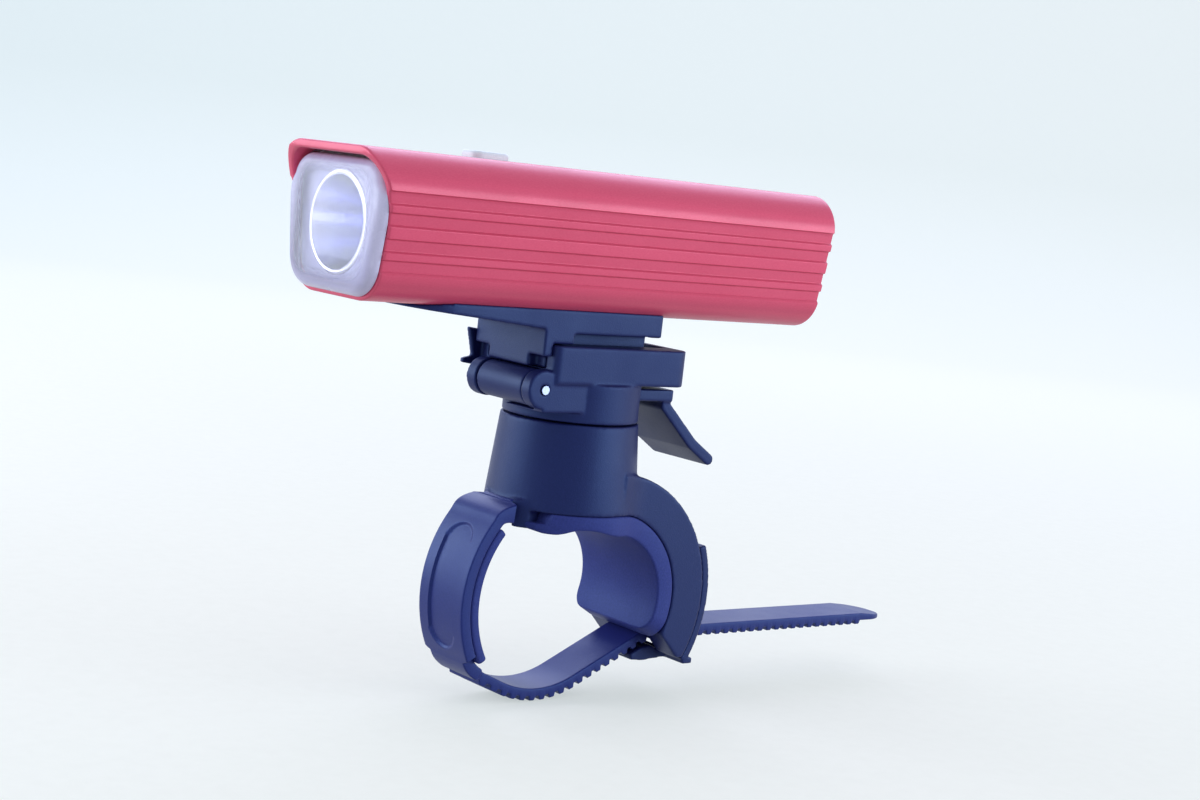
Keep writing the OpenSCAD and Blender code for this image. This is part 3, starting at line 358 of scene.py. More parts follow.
skirt_in, hollow_y = fit + 0.8, lens_y + plate
lens_rows = front_path(0.0)
lens_rows.append(lens_row(wide, np.maximum(back_of_wide - 0.1, lens_y + lens_round)))
lens_rows.append(lens_row(even * fit, np.maximum(back_of_wide, lens_y + lens_round + 0.1)))
lens_rows += [lens_row(even * inset, even * y)
              for inset, y in ((fit, lens_back - 0.2), (fit + 0.2, lens_back), (skirt_in, lens_back),
                               (skirt_in, hollow_y + 0.4), (skirt_in + 0.1, hollow_y + 0.1))]
lens_rows += [lens_row(even * (skirt_in + 0.4), even * hollow_y, s) for s in (1.0, 0.6, 0.3, 0.0)]
lens = surface("clear_front", np.stack(lens_rows), crease=60)
settle(lens, "lamp", "clear_lens", "front_lens")

# %% [markdown]
# ## The frosted skin
# The lens is clear in its middle and milky towards its edge. A thin skin over its front carries
# that look: the lens's own front path, lifted twice by a little, from pole to pole. How milky it
# is comes later, from its finish.

# %% Frosted skin of the lens
skin = front_path(0.13) + front_path(0.03)[::-1]
border = surface("frosted_skin", np.stack(skin), crease=60)
settle(border, "lamp", "clear_lens")

# %% [markdown]
# ## The reflector
# Behind the clear front a bright cup gathers the light. Its section is a parabola, and a cup
# is that section turned round the lamp's axis: one angle and one height make the grid. A small
# rolled rim at the mouth catches the ring of light that the photograph shows.

# %% Reflector cup
cup_low, cup_high = (np.array(c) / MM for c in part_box("reflector"))
cup_z = (cup_low[2] + cup_high[2]) / 2
cup_front, cup_back = cup_low[1], cup_high[1]
throat, mouth, cup_wall = 2.9, 8.3, 1.0
share = np.linspace(0, 1, 30)
inside = np.stack([throat + (mouth - throat) * np.sqrt(share),
                   cup_back - share * (cup_back - cup_front)], 1)
roll = np.radians(np.linspace(0, 180, 9))
rim_ring = np.stack([mouth + cup_wall / 2 - cup_wall / 2 * np.cos(roll),
                     cup_front + 0.35 - 0.35 * np.sin(roll)], 1)
outside = inside[::-1][1:-3] + [cup_wall, 0.0]
foot = np.array([[outside[-1, 0], cup_back - 1.0], [7.6, cup_back - 1.0], [7.6, cup_back]])
section = np.vstack([inside, rim_ring[1:], outside, foot])
round_a = np.linspace(0, 2 * np.pi, 96, endpoint=False)
cup = np.stack([section[:, :1] * np.cos(round_a), np.repeat(section[:, 1:], len(round_a), 1),
                cup_z + section[:, :1] * np.sin(round_a)], -1)
reflector = surface("reflector_cup", cup, wrap_rows=True)
settle(reflector, "lamp", "reflector_chrome", "reflector")

# %% [markdown]
# ## The reflector's flange
# Between the round cup and the lens's rounded square a pale flange fills the window, and a low
# collar round it reaches forward to the lens. The flange's inner edge is a circle and its outer
# edge the lamp's outline: each column of the grid runs from the circle out to the collar, round
# the collar and back behind the flange.

# %% Flange of the reflector
flange_out = clear_centre + (corner - fit - 0.95) * clear_out - [0, cup_z - lamp_z]
flange_dir = flange_out / np.linalg.norm(flange_out, axis=1, keepdims=True)
flange_in = (mouth + cup_wall - 0.05) * flange_dir
flange_y, flange_t = cup_front + 0.25, 0.9
collar_in = flange_out - 0.45 * clear_out
collar_y = hollow_y + 0.5
flange_path = [(flange_in, flange_y), ((flange_in + collar_in) / 2, flange_y), (collar_in, flange_y),
               (collar_in, collar_y), (flange_out, collar_y), (flange_out, flange_y + flange_t),
               (flange_in, flange_y + flange_t)]
flange_rows = [np.stack([flat[:, 0], np.full(len(flat), y), flat[:, 1] + cup_z], 1)
               for flat, y in flange_path]
flange = surface("reflector_flange", np.stack(flange_rows), wrap_rows=True)
settle(flange, "lamp", "reflector_chrome")

# %% [markdown]
# ## The power button
# A small frosted button stands in the top. It is a stack of rounded rectangles: a flange that
# holds it under the wall, a straight stem, and a crown whose edge is rounded off.

# %% Power button
stem_w, stem_l, stem_r, crown = 5.6, 8.2, 1.8, 0.7
under, crest = button_box[0][2], button_box[1][2]
lip_w, lip_t = -0.7, 0.5
stack = [(lip_w, under, 0.0), (lip_w, under, 1.0), (lip_w, under + lip_t, 1.0),
         (0.0, under + lip_t, 1.0), (0.0, crest - crown, 1.0)]
stack += [(crown * (1 - np.cos(a)), crest - crown + crown * np.sin(a), 1.0)
          for a in np.radians([25, 50, 70, 90])]
stack += [(crown, crest, 0.5), (crown, crest, 0.0)]
button_rows = []
for inset, z, scale in stack:
    plan = scale * rounded_plan(stem_w - 2 * inset, stem_l - 2 * inset, stem_r - inset)
    button_rows.append(np.column_stack([plan[:, 0], plan[:, 1] + button_y, np.full(len(plan), z)]))
button = surface("frosted_button", np.stack(button_rows), crease=50)
settle(button, "button", "button_clear", "power_button")

# %% [markdown]
# ## Bands: straps and liners
# The strap with its stiff front arm and the two rubber liners are all bands: a rounded
# rectangle carried between two lines of the side view, one for each face. Because the faces
# are given by themselves, the arm, the teeth and the tapering tip are one surface. Towards an
# end the section draws in along a quarter circle, and the last row folds flat, which closes it.

# %% Band between two lines
def section_shares(flat_steps, corner_steps):
    """Rounded rectangle as shares: which side, which face, and the direction in the corner.
    Along the width a point lies at side * (half width - r) + r * direction, across likewise."""
    a = np.linspace(0, np.pi / 2, corner_steps)
    one = np.ones(corner_steps)
    middle = np.linspace(1, -1, flat_steps)[1:-1]
    flat = np.column_stack([middle, 0 * middle + 1, 0 * middle, 0 * middle + 1])
    upper = np.vstack([np.column_stack([one, one, np.cos(a), np.sin(a)]), flat,
                       np.column_stack([-one, one, -np.sin(a), np.cos(a)])])
    return np.vstack([upper, upper[::-1] * [1, -1, 1, -1]])


def band(name, inner, outer, half_w, radius, flat_steps=10, dent=None, crease=45):
    """Rounded rectangles between an inner and an outer line of [y, z] points. The distance d
    from the nearer end draws the section in by r - sqrt(r^2 - (r - d)^2), and the first and
    last rows fold onto the middle line. dent(row, x) sinks the outer face."""
    middle = (inner + outer) / 2
    walked = np.append(0, np.cumsum(np.linalg.norm(np.diff(middle, axis=0), axis=1)))
    to_end = np.clip(np.minimum(walked, walked[-1] - walked), 0, radius)
    draw_in = radius - np.sqrt(radius ** 2 - (radius - to_end) ** 2)
    rows = np.concatenate([[0], np.arange(len(middle)), [len(middle) - 1]])
    open_up = np.ones(len(rows))
    open_up[[0, -1]] = 0
    side, face, corner_x, corner_t = section_shares(flat_steps, 5).T
    across = (outer - inner)[rows]
    thick = np.linalg.norm(across, axis=1, keepdims=True)
    x = side * (half_w - radius - draw_in)[rows][:, None] + radius * corner_x
    t = open_up[:, None] * (face * (thick / 2 - radius - draw_in[rows][:, None]) + radius * corner_t)
    if dent is not None:
        t = t - dent(rows, x) * (face > 0)
    place = middle[rows][:, None] + (t / thick)[..., None] * across[:, None]
    return surface(name, np.concatenate([x[..., None], place], -1), crease=crease)


def polar(centre, radius, degrees):
    """Points on a circle of the side view."""
    a = np.radians(np.atleast_1d(degrees))
    return np.asarray(centre) + radius * np.stack([np.cos(a), np.sin(a)], 1)


def bezier(p, steps):
    """Cubic curve: each of the four points weighs 1, 3, 3, 1 times (1-t)^(3-k) t^k."""
    t = np.linspace(0, 1, steps, endpoint=False)[:, None]
    p = np.asarray(p, float)
    s = 1 - t
    return s ** 3 * p[0] + 3 * s ** 2 * t * p[1] + 3 * s * t ** 2 * p[2] + t ** 3 * p[3]


print("a band's section has", len(section_shares(10, 5)), "points")

# %% [markdown]
# ## The toothed strap
# The strap is one moulding: a stiff, wide front arm with a shallow panel in its outer face, and
# a thin toothed tail that runs under the bar, rises into the rear arm and leaves it behind. Its
# middle line is made of straights and arcs that follow one another. Teeth are a height added to
# the outer face: a trapezium wave, counted afresh on every straight and arc so that it fits.

# %% Strap
arm_c, arm_mid, arm_half = (-5.2, -0.6), 23.9, 1.1
bend_c, bend_r, bend_from, bend_to = np.array([-8.9, 1.6]), 20.8, 246, 295.6
rise_l, turn_r, strap_half, tooth_h, tail_end, taper = 16.5, 14.0, 0.8, 0.8, 87.0, 8.0
fall_u = np.array([-np.sin(np.radians(bend_from)), np.cos(np.radians(bend_from))])
rise_n = polar((0, 0), 1, bend_to)[0]
rise_u = np.array([-rise_n[1], rise_n[0]])
bend_start = polar(bend_c, bend_r, bend_from)[0]
rise_from = polar(bend_c, bend_r, bend_to)[0]
rise_to = rise_from + rise_l * rise_u
turn_c = rise_to + turn_r * rise_n
tail_z = turn_c[1] + turn_r
fall_from = bend_start - 7.6 * fall_u
fall_in = fall_from + 1.5 * fall_u
arm_end = polar(arm_c, arm_mid, 210)[0]
arm_start = polar(arm_c, arm_mid, 140)[0]


def straight(a, b, step):
    """Evenly spaced points from a up to b, without b."""
    share = np.linspace(0, 1, max(2, int(np.linalg.norm(np.subtract(b, a)) / step)), endpoint=False)
    return np.asarray(a) + share[:, None] * np.subtract(b, a)


def tooth_wave(count, steps):
    """Trapezium wave of a whole number of teeth: full height within 0.2 of a pitch from a
    tooth's middle, none beyond 0.34, a straight flank between."""
    phase = np.linspace(0, count, steps, endpoint=False) % 1
    return tooth_h * np.clip((0.34 - np.abs(phase - 0.5)) / 0.14, 0, 1)


fine = 0.14
root_from, root_to = (-18.3, 15.6), (-19.9, 15.5)
legs = [("root", straight(root_from, root_to, fine), 0),
        ("arm", bezier([root_to, (-21.3, 15.6), arm_start + 1.2 * np.array([0.643, 0.766]),
                        arm_start], 22), 0),
        ("arm", polar(arm_c, arm_mid, np.linspace(140, 206.9, 170)), 0),
        ("heel", polar(arm_c, arm_mid, np.linspace(207.1, 209.9, 12)), 0),
        ("heel", bezier([arm_end, arm_end + np.array([0.5, -0.866]), fall_in - 1.2 * fall_u,
                         fall_in], 26), 0),
        ("strap", straight(fall_in, bend_start, fine), 2),
        ("strap", polar(bend_c, bend_r, np.linspace(bend_from, bend_to, 140, endpoint=False)), 8),
        ("strap", straight(rise_from, rise_to, fine), 7),
        ("strap", polar(turn_c, turn_r, np.linspace(bend_to - 180, 90, 44, endpoint=False)), 2),
        ("strap", straight((turn_c[0], tail_z), (tail_end - taper, tail_z), fine), 24),
        ("tail", np.vstack([straight((tail_end - taper, tail_z), (tail_end, tail_z), fine),
                            [[tail_end, tail_z]]]), 0)]
line = np.vstack([points for _, points, _ in legs])
kind = np.concatenate([[name] * len(points) for name, points, _ in legs])
teeth = np.concatenate([tooth_wave(count, len(points)) if count else np.zeros(len(points))
                        for _, points, count in legs])
along = np.gradient(line, axis=0)
along /= np.linalg.norm(along, axis=1, keepdims=True)
inward = np.stack([-along[:, 1], along[:, 0]], 1)


def by_kind(root, arm, heel, strap):
    """One value for each point, chosen by the leg that it is on; the tail is as the strap."""
    on_leg = [kind == "root", kind == "arm", kind == "heel"]
    return np.select(on_leg, [root, arm, heel], strap).astype(float)


half_w = by_kind(4.5, 7.0, 5.5, 5.0)
from_tip = np.clip(tail_end - line[:, 0], 0, 5)
half_w = np.where(kind == "tail", np.minimum(half_w, np.sqrt(25.01 - (5 - from_tip) ** 2)), half_w)
half_w[8:-8] = np.convolve(half_w, np.ones(5) / 5, "same")[8:-8]
thin = by_kind(1.4, arm_half, 1.2, strap_half)
thin[8:-8] = np.convolve(thin, np.ones(9) / 9, "same")[8:-8]
slope = np.where(kind == "tail", np.clip((line[:, 0] - tail_end + taper) / taper, 0, 1) * 0.9, 0)
inner_face = line + (thin - slope)[:, None] * inward
walk = np.append(0, np.cumsum(np.linalg.norm(np.diff(line, axis=0), axis=1)))
swell = 1.45 * ease(1 - walk / 7)
outer_face = line - (thin + teeth + swell)[:, None] * inward
on_arm = np.degrees(np.arctan2(line[:, 1] - arm_c[1], line[:, 0] - arm_c[0])) % 360
panel_mid = (walk[np.argmin(np.abs(on_arm - 156))] + walk[np.argmin(np.abs(on_arm - 194))]) / 2


def panel(rows, x):
    """Shallow panel: 0.5 mm deep inside a stadium of half width 4 and straight length 16."""
    ahead_by = np.maximum(np.abs(walk[rows] - panel_mid)[:, None] - 8, 0)
    return 0.5 * ease((4.0 - np.hypot(ahead_by, x)) / 0.35) * (kind[rows] == "arm")[:, None]


strap = band("toothed_strap", inner_face, outer_face, half_w, 0.3, flat_steps=36, dent=panel,
             crease=50)
settle(strap, "clamp", "strap_plastic", "strap")
print("strap is", round(float(walk[-1])), "mm long with", int(sum(c for _, _, c in legs)), "teeth")

# %% [markdown]
# ## The strap's eye
# At its root the strap ends in an eye that turns on a steel cross pin in the clamp's nose. It is
# a short tube: a rectangle with rounded corners turned round the pin.

# %% Eye of the strap
eye_at, eye_r, eye_bore, eye_half, edge = (-16.6, 15.6), 2.0, 0.95, 4.5, 0.25
tube = np.array([(-eye_half, eye_bore), (-eye_half, eye_r - edge), (-eye_half + edge, eye_r),
                 (eye_half - edge, eye_r), (eye_half, eye_r - edge), (eye_half, eye_bore)])
spin = np.linspace(0, 2 * np.pi, 40, endpoint=False)
eye = np.stack([np.repeat(tube[:, :1], 40, 1), eye_at[0] + tube[:, 1:] * np.cos(spin),
                eye_at[1] + tube[:, 1:] * np.sin(spin)], -1)
strap_eye = surface("strap_eye", eye, wrap_rows=True)
settle(strap_eye, "clamp", "strap_plastic")

# %% [markdown]
# ## The rubber liners
# Soft rubber lines the clamp: a thick pad on the saddle and the rear arm, with a fold at its
# front that bulges over the gap to the strap, and a thinner one inside the front arm. Both are
# bands with well rounded edges, because moulded rubber has no sharp ones.

# %% Liners of the clamp
pad_r, pad_seat, saddle_top, pad_front = 12.8, 16.65, 16.75, -18.6
ring_a = np.linspace(-31, 90, 150)
ahead_y = np.linspace(-0.08, pad_front, 110)
under_z = (12.82 + 1.25 * ease(-ahead_y / 8) - 1.15 * ease((-ahead_y - 9.5) / 4.5)
           + 0.9 * ease((-ahead_y - 15) / 3.4))
over_z = saddle_top - (saddle_top - 14.7) * ease((-ahead_y - 14.2) / 1.0)
pad_inner = np.vstack([polar((0, 0), pad_r, ring_a), np.stack([ahead_y, under_z], 1)])
pad_outer = np.vstack([polar((0, 0), pad_seat, ring_a), np.stack([ahead_y, over_z], 1)])
neck_y, foot_r, side_x, blend_r = -4.4, 14.8, 12.0, 14.0
meet = np.arccos((side_x + blend_r) / (foot_r + blend_r))
blend_y = neck_y + (foot_r + blend_r) * np.sin(meet)


def clamp_half(y):
    """Half width of the clamp in plan: the circle of the neck's foot, then an arc that is hollow
    outwards, and behind its centre the straight side."""
    circle = np.sqrt(np.clip(foot_r ** 2 - (y - neck_y) ** 2, 0, None))
    hollow = side_x + blend_r - np.sqrt(blend_r ** 2 - np.clip(blend_y - y, 0, blend_r) ** 2)
    return np.where(y < neck_y + foot_r * np.sin(meet), circle, hollow)


end_r = 3.5
low_end = np.clip(pad_r * np.radians(np.append(ring_a, 90 + 0 * ahead_y) - ring_a[0]), 0, end_r)
pad_half = clamp_half(pad_inner[:, 0]) - end_r + np.sqrt(end_r ** 2 - (end_r - low_end) ** 2)
saddle = band("saddle_liner", pad_inner, pad_outer, pad_half, 0.5, crease=60)
settle(saddle, "clamp", "pad_rubber", "saddle_pad")

liner_out = 22.75
liner_a = np.linspace(141.5, 211.4, 130)
arm_liner = band("arm_liner", polar(arm_c, liner_out - 1.9, liner_a),
                 polar(arm_c, liner_out, liner_a), np.full(len(liner_a), 7.0), 0.55, crease=60)
settle(arm_liner, "clamp", "pad_rubber", "strap_pad")

# %% [markdown]
# ## Soft seals
# Two pale silicone rings keep water out, one behind the clear front and one round the rear cap. Both
# follow the lamp's outline, so a ring is a small rounded section carried round that outline:
# the section gives an inset and a place along the lamp, the outline gives the rest.

# %% Seals
def seal_ring(name, insets, places, radius):
    """Rounded rectangle of insets and places along the lamp, carried round the outline."""
    middle = np.array([sum(insets) / 2, sum(places) / 2])
    half = np.array([insets[1] - insets[0], places[1] - places[0]]) / 2
    side, face, corner_a, corner_b = section_shares(4, 4).T
    inset = middle[0] + side * (half[0] - radius) + radius * corner_a
    place = middle[1] + face * (half[1] - radius) + radius * corner_b
    flat = clear_centre[:, None] + (corner - inset)[None, :, None] * clear_out[:, None]
    ring = np.stack([flat[..., 0], np.tile(place, (len(clear_out), 1)), flat[..., 1] + lamp_z], -1)
    return surface(name, ring, wrap_rows=True, crease=60)


front_seal = seal_ring("front_seal", (fit, fit + 2.0), (lens_back, lens_back + 0.8), 0.25)
settle(front_seal, "lamp", "seal", "lens_gasket")
rear_seal = seal_ring("rear_seal", (wall + 0.03, fit + 0.7), (rear_y - 4.0, rear_y - 2.6), 0.3)
settle(rear_seal, "lamp", "seal", "rear_gasket")

# %% [markdown]
# ## The port cover
# A rubber flap closes the charging port. Seen from behind it is a rounded rectangle with a
# pillowed face, and it hangs on a round bar that rubber wraps at its lower edge. Its plug is
# thinner, and pushes into the socket. Stacks of rounded rectangles make the flap and the plug.

# %% Port cover
cover_low, cover_high = (np.array(c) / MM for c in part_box("usb_cover"))
cover_w, cover_h, cover_r, cover_t, cover_z = 14.0, 7.0, 1.5, 1.4, cover_high[2] - 3.5


def stack_y(name, layers, width, height, radius, middle_z, crease=50):
    """Rounded rectangles stacked along the lamp; each layer is (inset, place, scale)."""
    rows = []
    for inset, place, scale in layers:
        plan = scale * rounded_plan(width - 2 * inset, height - 2 * inset, max(radius - inset, 0.1))
        rows.append(np.column_stack([plan[:, 0], np.full(len(plan), place), plan[:, 1] + middle_z]))
    return surface(name, np.stack(rows), crease=crease)


pillow = 0.55
outside_y, inside_y, plug_end = cover_high[1], cover_high[1] - cover_t, cover_low[1]
cover_layers = [(0.2, inside_y, 0.0), (0.2, inside_y, 1.0), (0.0, inside_y + 0.2, 1.0)]
cover_layers += [(pillow * (1 - np.cos(a)), outside_y - pillow + pillow * np.sin(a) * 0.8, 1.0)
                 for a in np.radians([0, 25, 50, 70, 90])]
cover_layers += [(pillow, outside_y - 0.03, 0.7), (pillow, outside_y, 0.35), (pillow, outside_y, 0.0)]
cover = stack_y("port_flap", cover_layers, cover_w, cover_h, cover_r, cover_z)
settle(cover, "port_cover", "cover_rubber", "usb_cover")
plug_layers = [(0.25, plug_end, 0.0), (0.25, plug_end, 1.0), (0.0, plug_end + 0.25, 1.0),
               (0.0, inside_y + 0.1, 1.0), (0.0, inside_y + 0.1, 0.0)]
cover_plug = stack_y("port_plug", plug_layers, 6.9, 1.8, 0.8, cover_z)
bar_r, bar_half = 0.8, 8.5
bar_a = np.linspace(0, 2 * np.pi, 28, endpoint=False)
bar_ends = np.array([(-bar_half, 0), (-bar_half, bar_r - 0.2), (-bar_half + 0.2, bar_r),
                     (bar_half - 0.2, bar_r), (bar_half, bar_r - 0.2), (bar_half, 0)])
bar_grid = np.stack([np.repeat(bar_ends[:, :1], len(bar_a), 1),
                     outside_y - bar_r + bar_ends[:, 1:] * np.cos(bar_a),
                     cover_low[2] + bar_r + bar_ends[:, 1:] * np.sin(bar_a)], -1)
cover_bar = surface("port_hinge_bar", bar_grid, crease=50)
web_layers = [(0.0, outside_y - 1.2, 0.0), (0.0, outside_y - 1.2, 1.0), (0.0, outside_y - 0.2, 1.0),
              (0.2, outside_y - 0.05, 1.0), (0.2, outside_y - 0.05, 0.0)]
web = stack_y("port_web", web_layers, 10.0, 2.0, 0.2, cover_low[2] + bar_r + 0.6)
for piece in (cover_plug, cover_bar, web):
    settle(piece, "port_cover", "cover_rubber")

# %% [markdown]
# ## Soft edges on the mouldings
# Injection-moulded plastic has a small radius on every edge, also where many faces meet. A
# Bevel modifier gets confused there, so each moulding is taken as a copy of its solid, turned
# into even small cells and relaxed a few times: flat faces stay flat, because they are already
# the mean of their neighbours, while edges and inner corners round off by about two cells.

# %% Softened mouldings
def soften(node, name, cell, passes):
    """Copy of a solid in even cells, whose points move half way to their neighbours' mean a
    number of times. The result is the piece's own mesh, with no modifier left on it."""
    mesh = nodes[node].data.copy()
    work = bmesh.new()
    work.from_mesh(mesh)
    bmesh.ops.remove_doubles(work, verts=work.verts, dist=1e-6)
    work.to_mesh(mesh)
    work.free()
    piece = bpy.data.objects.new(name, mesh)
    bpy.context.scene.collection.objects.link(piece)
    even = piece.modifiers.new("even cells", "REMESH")
    even.mode, even.voxel_size = "VOXEL", cell * MM
    relax = piece.modifiers.new("relax", "SMOOTH")
    relax.factor, relax.iterations = 0.5, passes
    seen_now = bpy.context.evaluated_depsgraph_get()
    soft_mesh = bpy.data.meshes.new_from_object(piece.evaluated_get(seen_now))
    piece.modifiers.clear()
    piece.data = soft_mesh
    soft_mesh.polygons.foreach_set("use_smooth", np.ones(len(soft_mesh.polygons), bool))
    print(name, "has", len(soft_mesh.polygons), "faces")
    return piece


mouldings = {}
for node, name, body, cell, passes in (("clamp_body", "clamp_moulding", "clamp", 0.30, 9),
                                       ("cradle", "holder_moulding", "head", 0.24, 6),
                                       ("release_lever", "lever_moulding", "lever", 0.22, 6),
                                       ("mount_shoe", "shoe_moulding", "lamp", 0.26, 5),
                                       ("ratchet_latch", "latch_moulding", "latch", 0.22, 12)):
    mouldings[name] = settle(soften(node, name, cell, passes), body, "bracket_plastic", node)

# %% [markdown]
# ## Springs
# A coil spring is a circle carried along a helix. Each turn moves on by the pitch, and the wire
# stays round because its circle stands across the helix. The spring under the release lever is pressed
# together with it, and it gets a mesh of its own.

# %% Coil springs
def coil(radius, wire, turns, rise, sides=12, per_turn=40):
    """Round wire on a helix about the third axis: the angle runs evenly, the height with it,
    and the wire's circle lies in the plane of the radius and the axis. Ends close in poles."""
    a = np.linspace(0, 2 * np.pi * turns, turns * per_turn + 1)
    a = np.concatenate([a[:1], a, a[-1:]])
    b = np.linspace(0, 2 * np.pi, sides, endpoint=False)
    r = np.full(len(a), wire / 2)
    r[[0, -1]] = 0
    q = radius + r[:, None] * np.cos(b)
    height = rise * (a / (2 * np.pi * turns))[:, None] + r[:, None] * np.sin(b)
    return np.stack([q * np.cos(a)[:, None], q * np.sin(a)[:, None], height], -1)


lever_wire, lever_foot, latch_axis = 0.35, (0, 3.5, 34.5), (-2.1, 20.159, 8.557)
lever_coil = coil(2.1, lever_wire, 3, 3.15) + lever_foot + [0, 0, lever_wire / 2]
lever_spring = surface("lever_coil", lever_coil)
settle(lever_spring, "head", "steel", "lever_spring")
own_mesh(lever_spring)
latch_coil = coil(1.325, 0.45, 4, 4.2)[..., [2, 1, 0]] * [1, 1, -1] + latch_axis
latch_spring = surface("latch_coil", latch_coil)
settle(latch_spring, "clamp", "steel", "latch_spring")

# %% [markdown]
# ## Shared effects
# Moulded plastic, rubber and blasted metal all have a fine grain, and all of them are handled.
# Each effect is a node group, built once with named sockets and placed in many materials with
# its own values. A group gives only values that change over the surface. The shader itself
# stays in the material.

# %% Effect groups
def effect(name, ins, outs):
    """Empty shader node group with the named value sockets."""
    group = bpy.data.node_groups.new(name, "ShaderNodeTree")
    group.interface.new_socket("Vector", in_out="INPUT", socket_type="NodeSocketVector")
    for label, default in ins:
        made = group.interface.new_socket(label, in_out="INPUT", socket_type="NodeSocketFloat")
        made.default_value = default
    for label in outs:
        group.interface.new_socket(label, in_out="OUTPUT", socket_type="NodeSocketFloat")
    ends = group.nodes.new("NodeGroupInput").outputs, group.nodes.new("NodeGroupOutput").inputs
    return group, *ends


def noise(tree, vector, scale, detail=3.0, rough=0.5):
    """Noise texture whose scale is a number or another socket."""
    made = tree.nodes.new("ShaderNodeTexNoise")
    tree.links.new(vector, made.inputs["Vector"])
    if isinstance(scale, (int, float)):
        made.inputs["Scale"].default_value = scale
    else:
        tree.links.new(scale, made.inputs["Scale"])
    made.inputs["Detail"].default_value, made.inputs["Roughness"].default_value = detail, rough
    return made.outputs["Fac"]


def math_node(tree, operation, a, b=0.5, clamp=False):
    """One arithmetic step between sockets or numbers."""
    made = tree.nodes.new("ShaderNodeMath")
    made.operation, made.use_clamp = operation, clamp
    for socket, value in zip(made.inputs, (a, b)):
        if isinstance(value, (int, float)):
            socket.default_value = value
        else:
            tree.links.new(value, socket)
    return made.outputs[0]


def remap(tree, value, low, high, to_low=0.0, to_high=1.0):
    """Straight-line change of range, held at its ends."""
    made = tree.nodes.new("ShaderNodeMapRange")
    tree.links.new(value, made.inputs["Value"])
    ends = {"From Min": low, "From Max": high, "To Min": to_low, "To Max": to_high}
    for label, number in ends.items():
        made.inputs[label].default_value = number
    return made.outputs["Result"]


grain, grain_in, grain_out = effect("moulded_grain", [("Scale", 4000.0)], ["Height", "Shade"])
cells = grain.nodes.new("ShaderNodeTexVoronoi")
grain.links.new(grain_in["Vector"], cells.inputs["Vector"])
grain.links.new(grain_in["Scale"], cells.inputs["Scale"])
pits = noise(grain, grain_in["Vector"], grain_in["Scale"], 4.0, 0.6)
domes = math_node(grain, "MULTIPLY", cells.outputs["Distance"], 0.6)
grain.links.new(math_node(grain, "ADD", domes, pits), grain_out["Height"])
grain.links.new(remap(grain, pits, 0.3, 0.7), grain_out["Shade"])

handled, handled_in, handled_out = effect("handling", [("Size", 60.0)], ["Smudge", "Scratch"])
blotches = noise(handled, handled_in["Vector"], handled_in["Size"], 5.0, 0.55)
handled.links.new(remap(handled, blotches, 0.42, 0.7), handled_out["Smudge"])
stretch = handled.nodes.new("ShaderNodeMapping")
stretch.inputs["Scale"].default_value = (0.25, 6.0, 1.0)
stretch.inputs["Rotation"].default_value = (0.4, 0.7, 0.5)
handled.links.new(handled_in["Vector"], stretch.inputs["Vector"])
lines = noise(handled, stretch.outputs[0], 700.0, 2.0, 0.4)
handled.links.new(remap(handled, lines, 0.66, 0.74), handled_out["Scratch"])

dusty, dusty_in, dusty_out = effect("dust", [("Size", 900.0)], ["Mask"])
specks = noise(dusty, dusty_in["Vector"], dusty_in["Size"], 2.0, 0.5)
patches = remap(dusty, noise(dusty, dusty_in["Vector"], 45.0, 3.0, 0.5), 0.45, 0.75)
lying = math_node(dusty, "MULTIPLY", remap(dusty, specks, 0.58, 0.72), patches)
dusty.links.new(lying, dusty_out["Mask"])
print("effect groups:", [g.name for g in bpy.data.node_groups])

# %% [markdown]
# ## Finishes
# One function makes a material around the three effects: two close tones mixed by the grain,
# smudges that change the gloss, a little dust, and a bump. Moulded edges are never sharp, so a
# Bevel node rounds the normal where two faces meet, which lets thin edges catch the light.

# %% Material maker
def colour(red, green, blue):
    """Colour given as seen on a screen, 0 to 255, turned into the shader's linear values."""
    c = np.array([red, green, blue]) / 255
    return (*np.where(c <= 0.04045, c / 12.92, ((c + 0.055) / 1.055) ** 2.4), 1.0)


def mix_colour(tree, factor, a, b):
    """Colour mix by a mask; a and b are colours or sockets."""
    made = tree.nodes.new("ShaderNodeMix")
    made.data_type = "RGBA"
    tree.links.new(factor, made.inputs["Factor"])
    for label, value in zip(("A", "B"), (a, b)):
        socket = [i for i in made.inputs if i.name == label and i.type == "RGBA"][0]
        if isinstance(value, tuple):
            socket.default_value = value
        else:
            tree.links.new(value, socket)
    return [o for o in made.outputs if o.type == "RGBA"][0]


def use_effect(tree, group, vector, **values):
    """Puts an effect group into a material with its own values."""
    made = tree.nodes.new("ShaderNodeGroup")
    made.node_tree = group
    tree.links.new(vector, made.inputs["Vector"])
    for label, number in values.items():
        made.inputs[label].default_value = number
    return made.outputs


def new_material(name):
    """Empty material: itself, its nodes, its shader and the piece's Object coordinates."""
    material = bpy.data.materials.new(name)
    material.use_nodes = True
    tree = material.node_tree
    where = tree.nodes.new("ShaderNodeTexCoord").outputs["Object"]
    return material, tree, tree.nodes["Principled BSDF"], where


def parts_of(material):
    """The same of a finished material."""
    tree = material.node_tree
    return tree, tree.nodes["Principled BSDF"], tree.nodes["Texture Coordinate"].outputs["Object"]


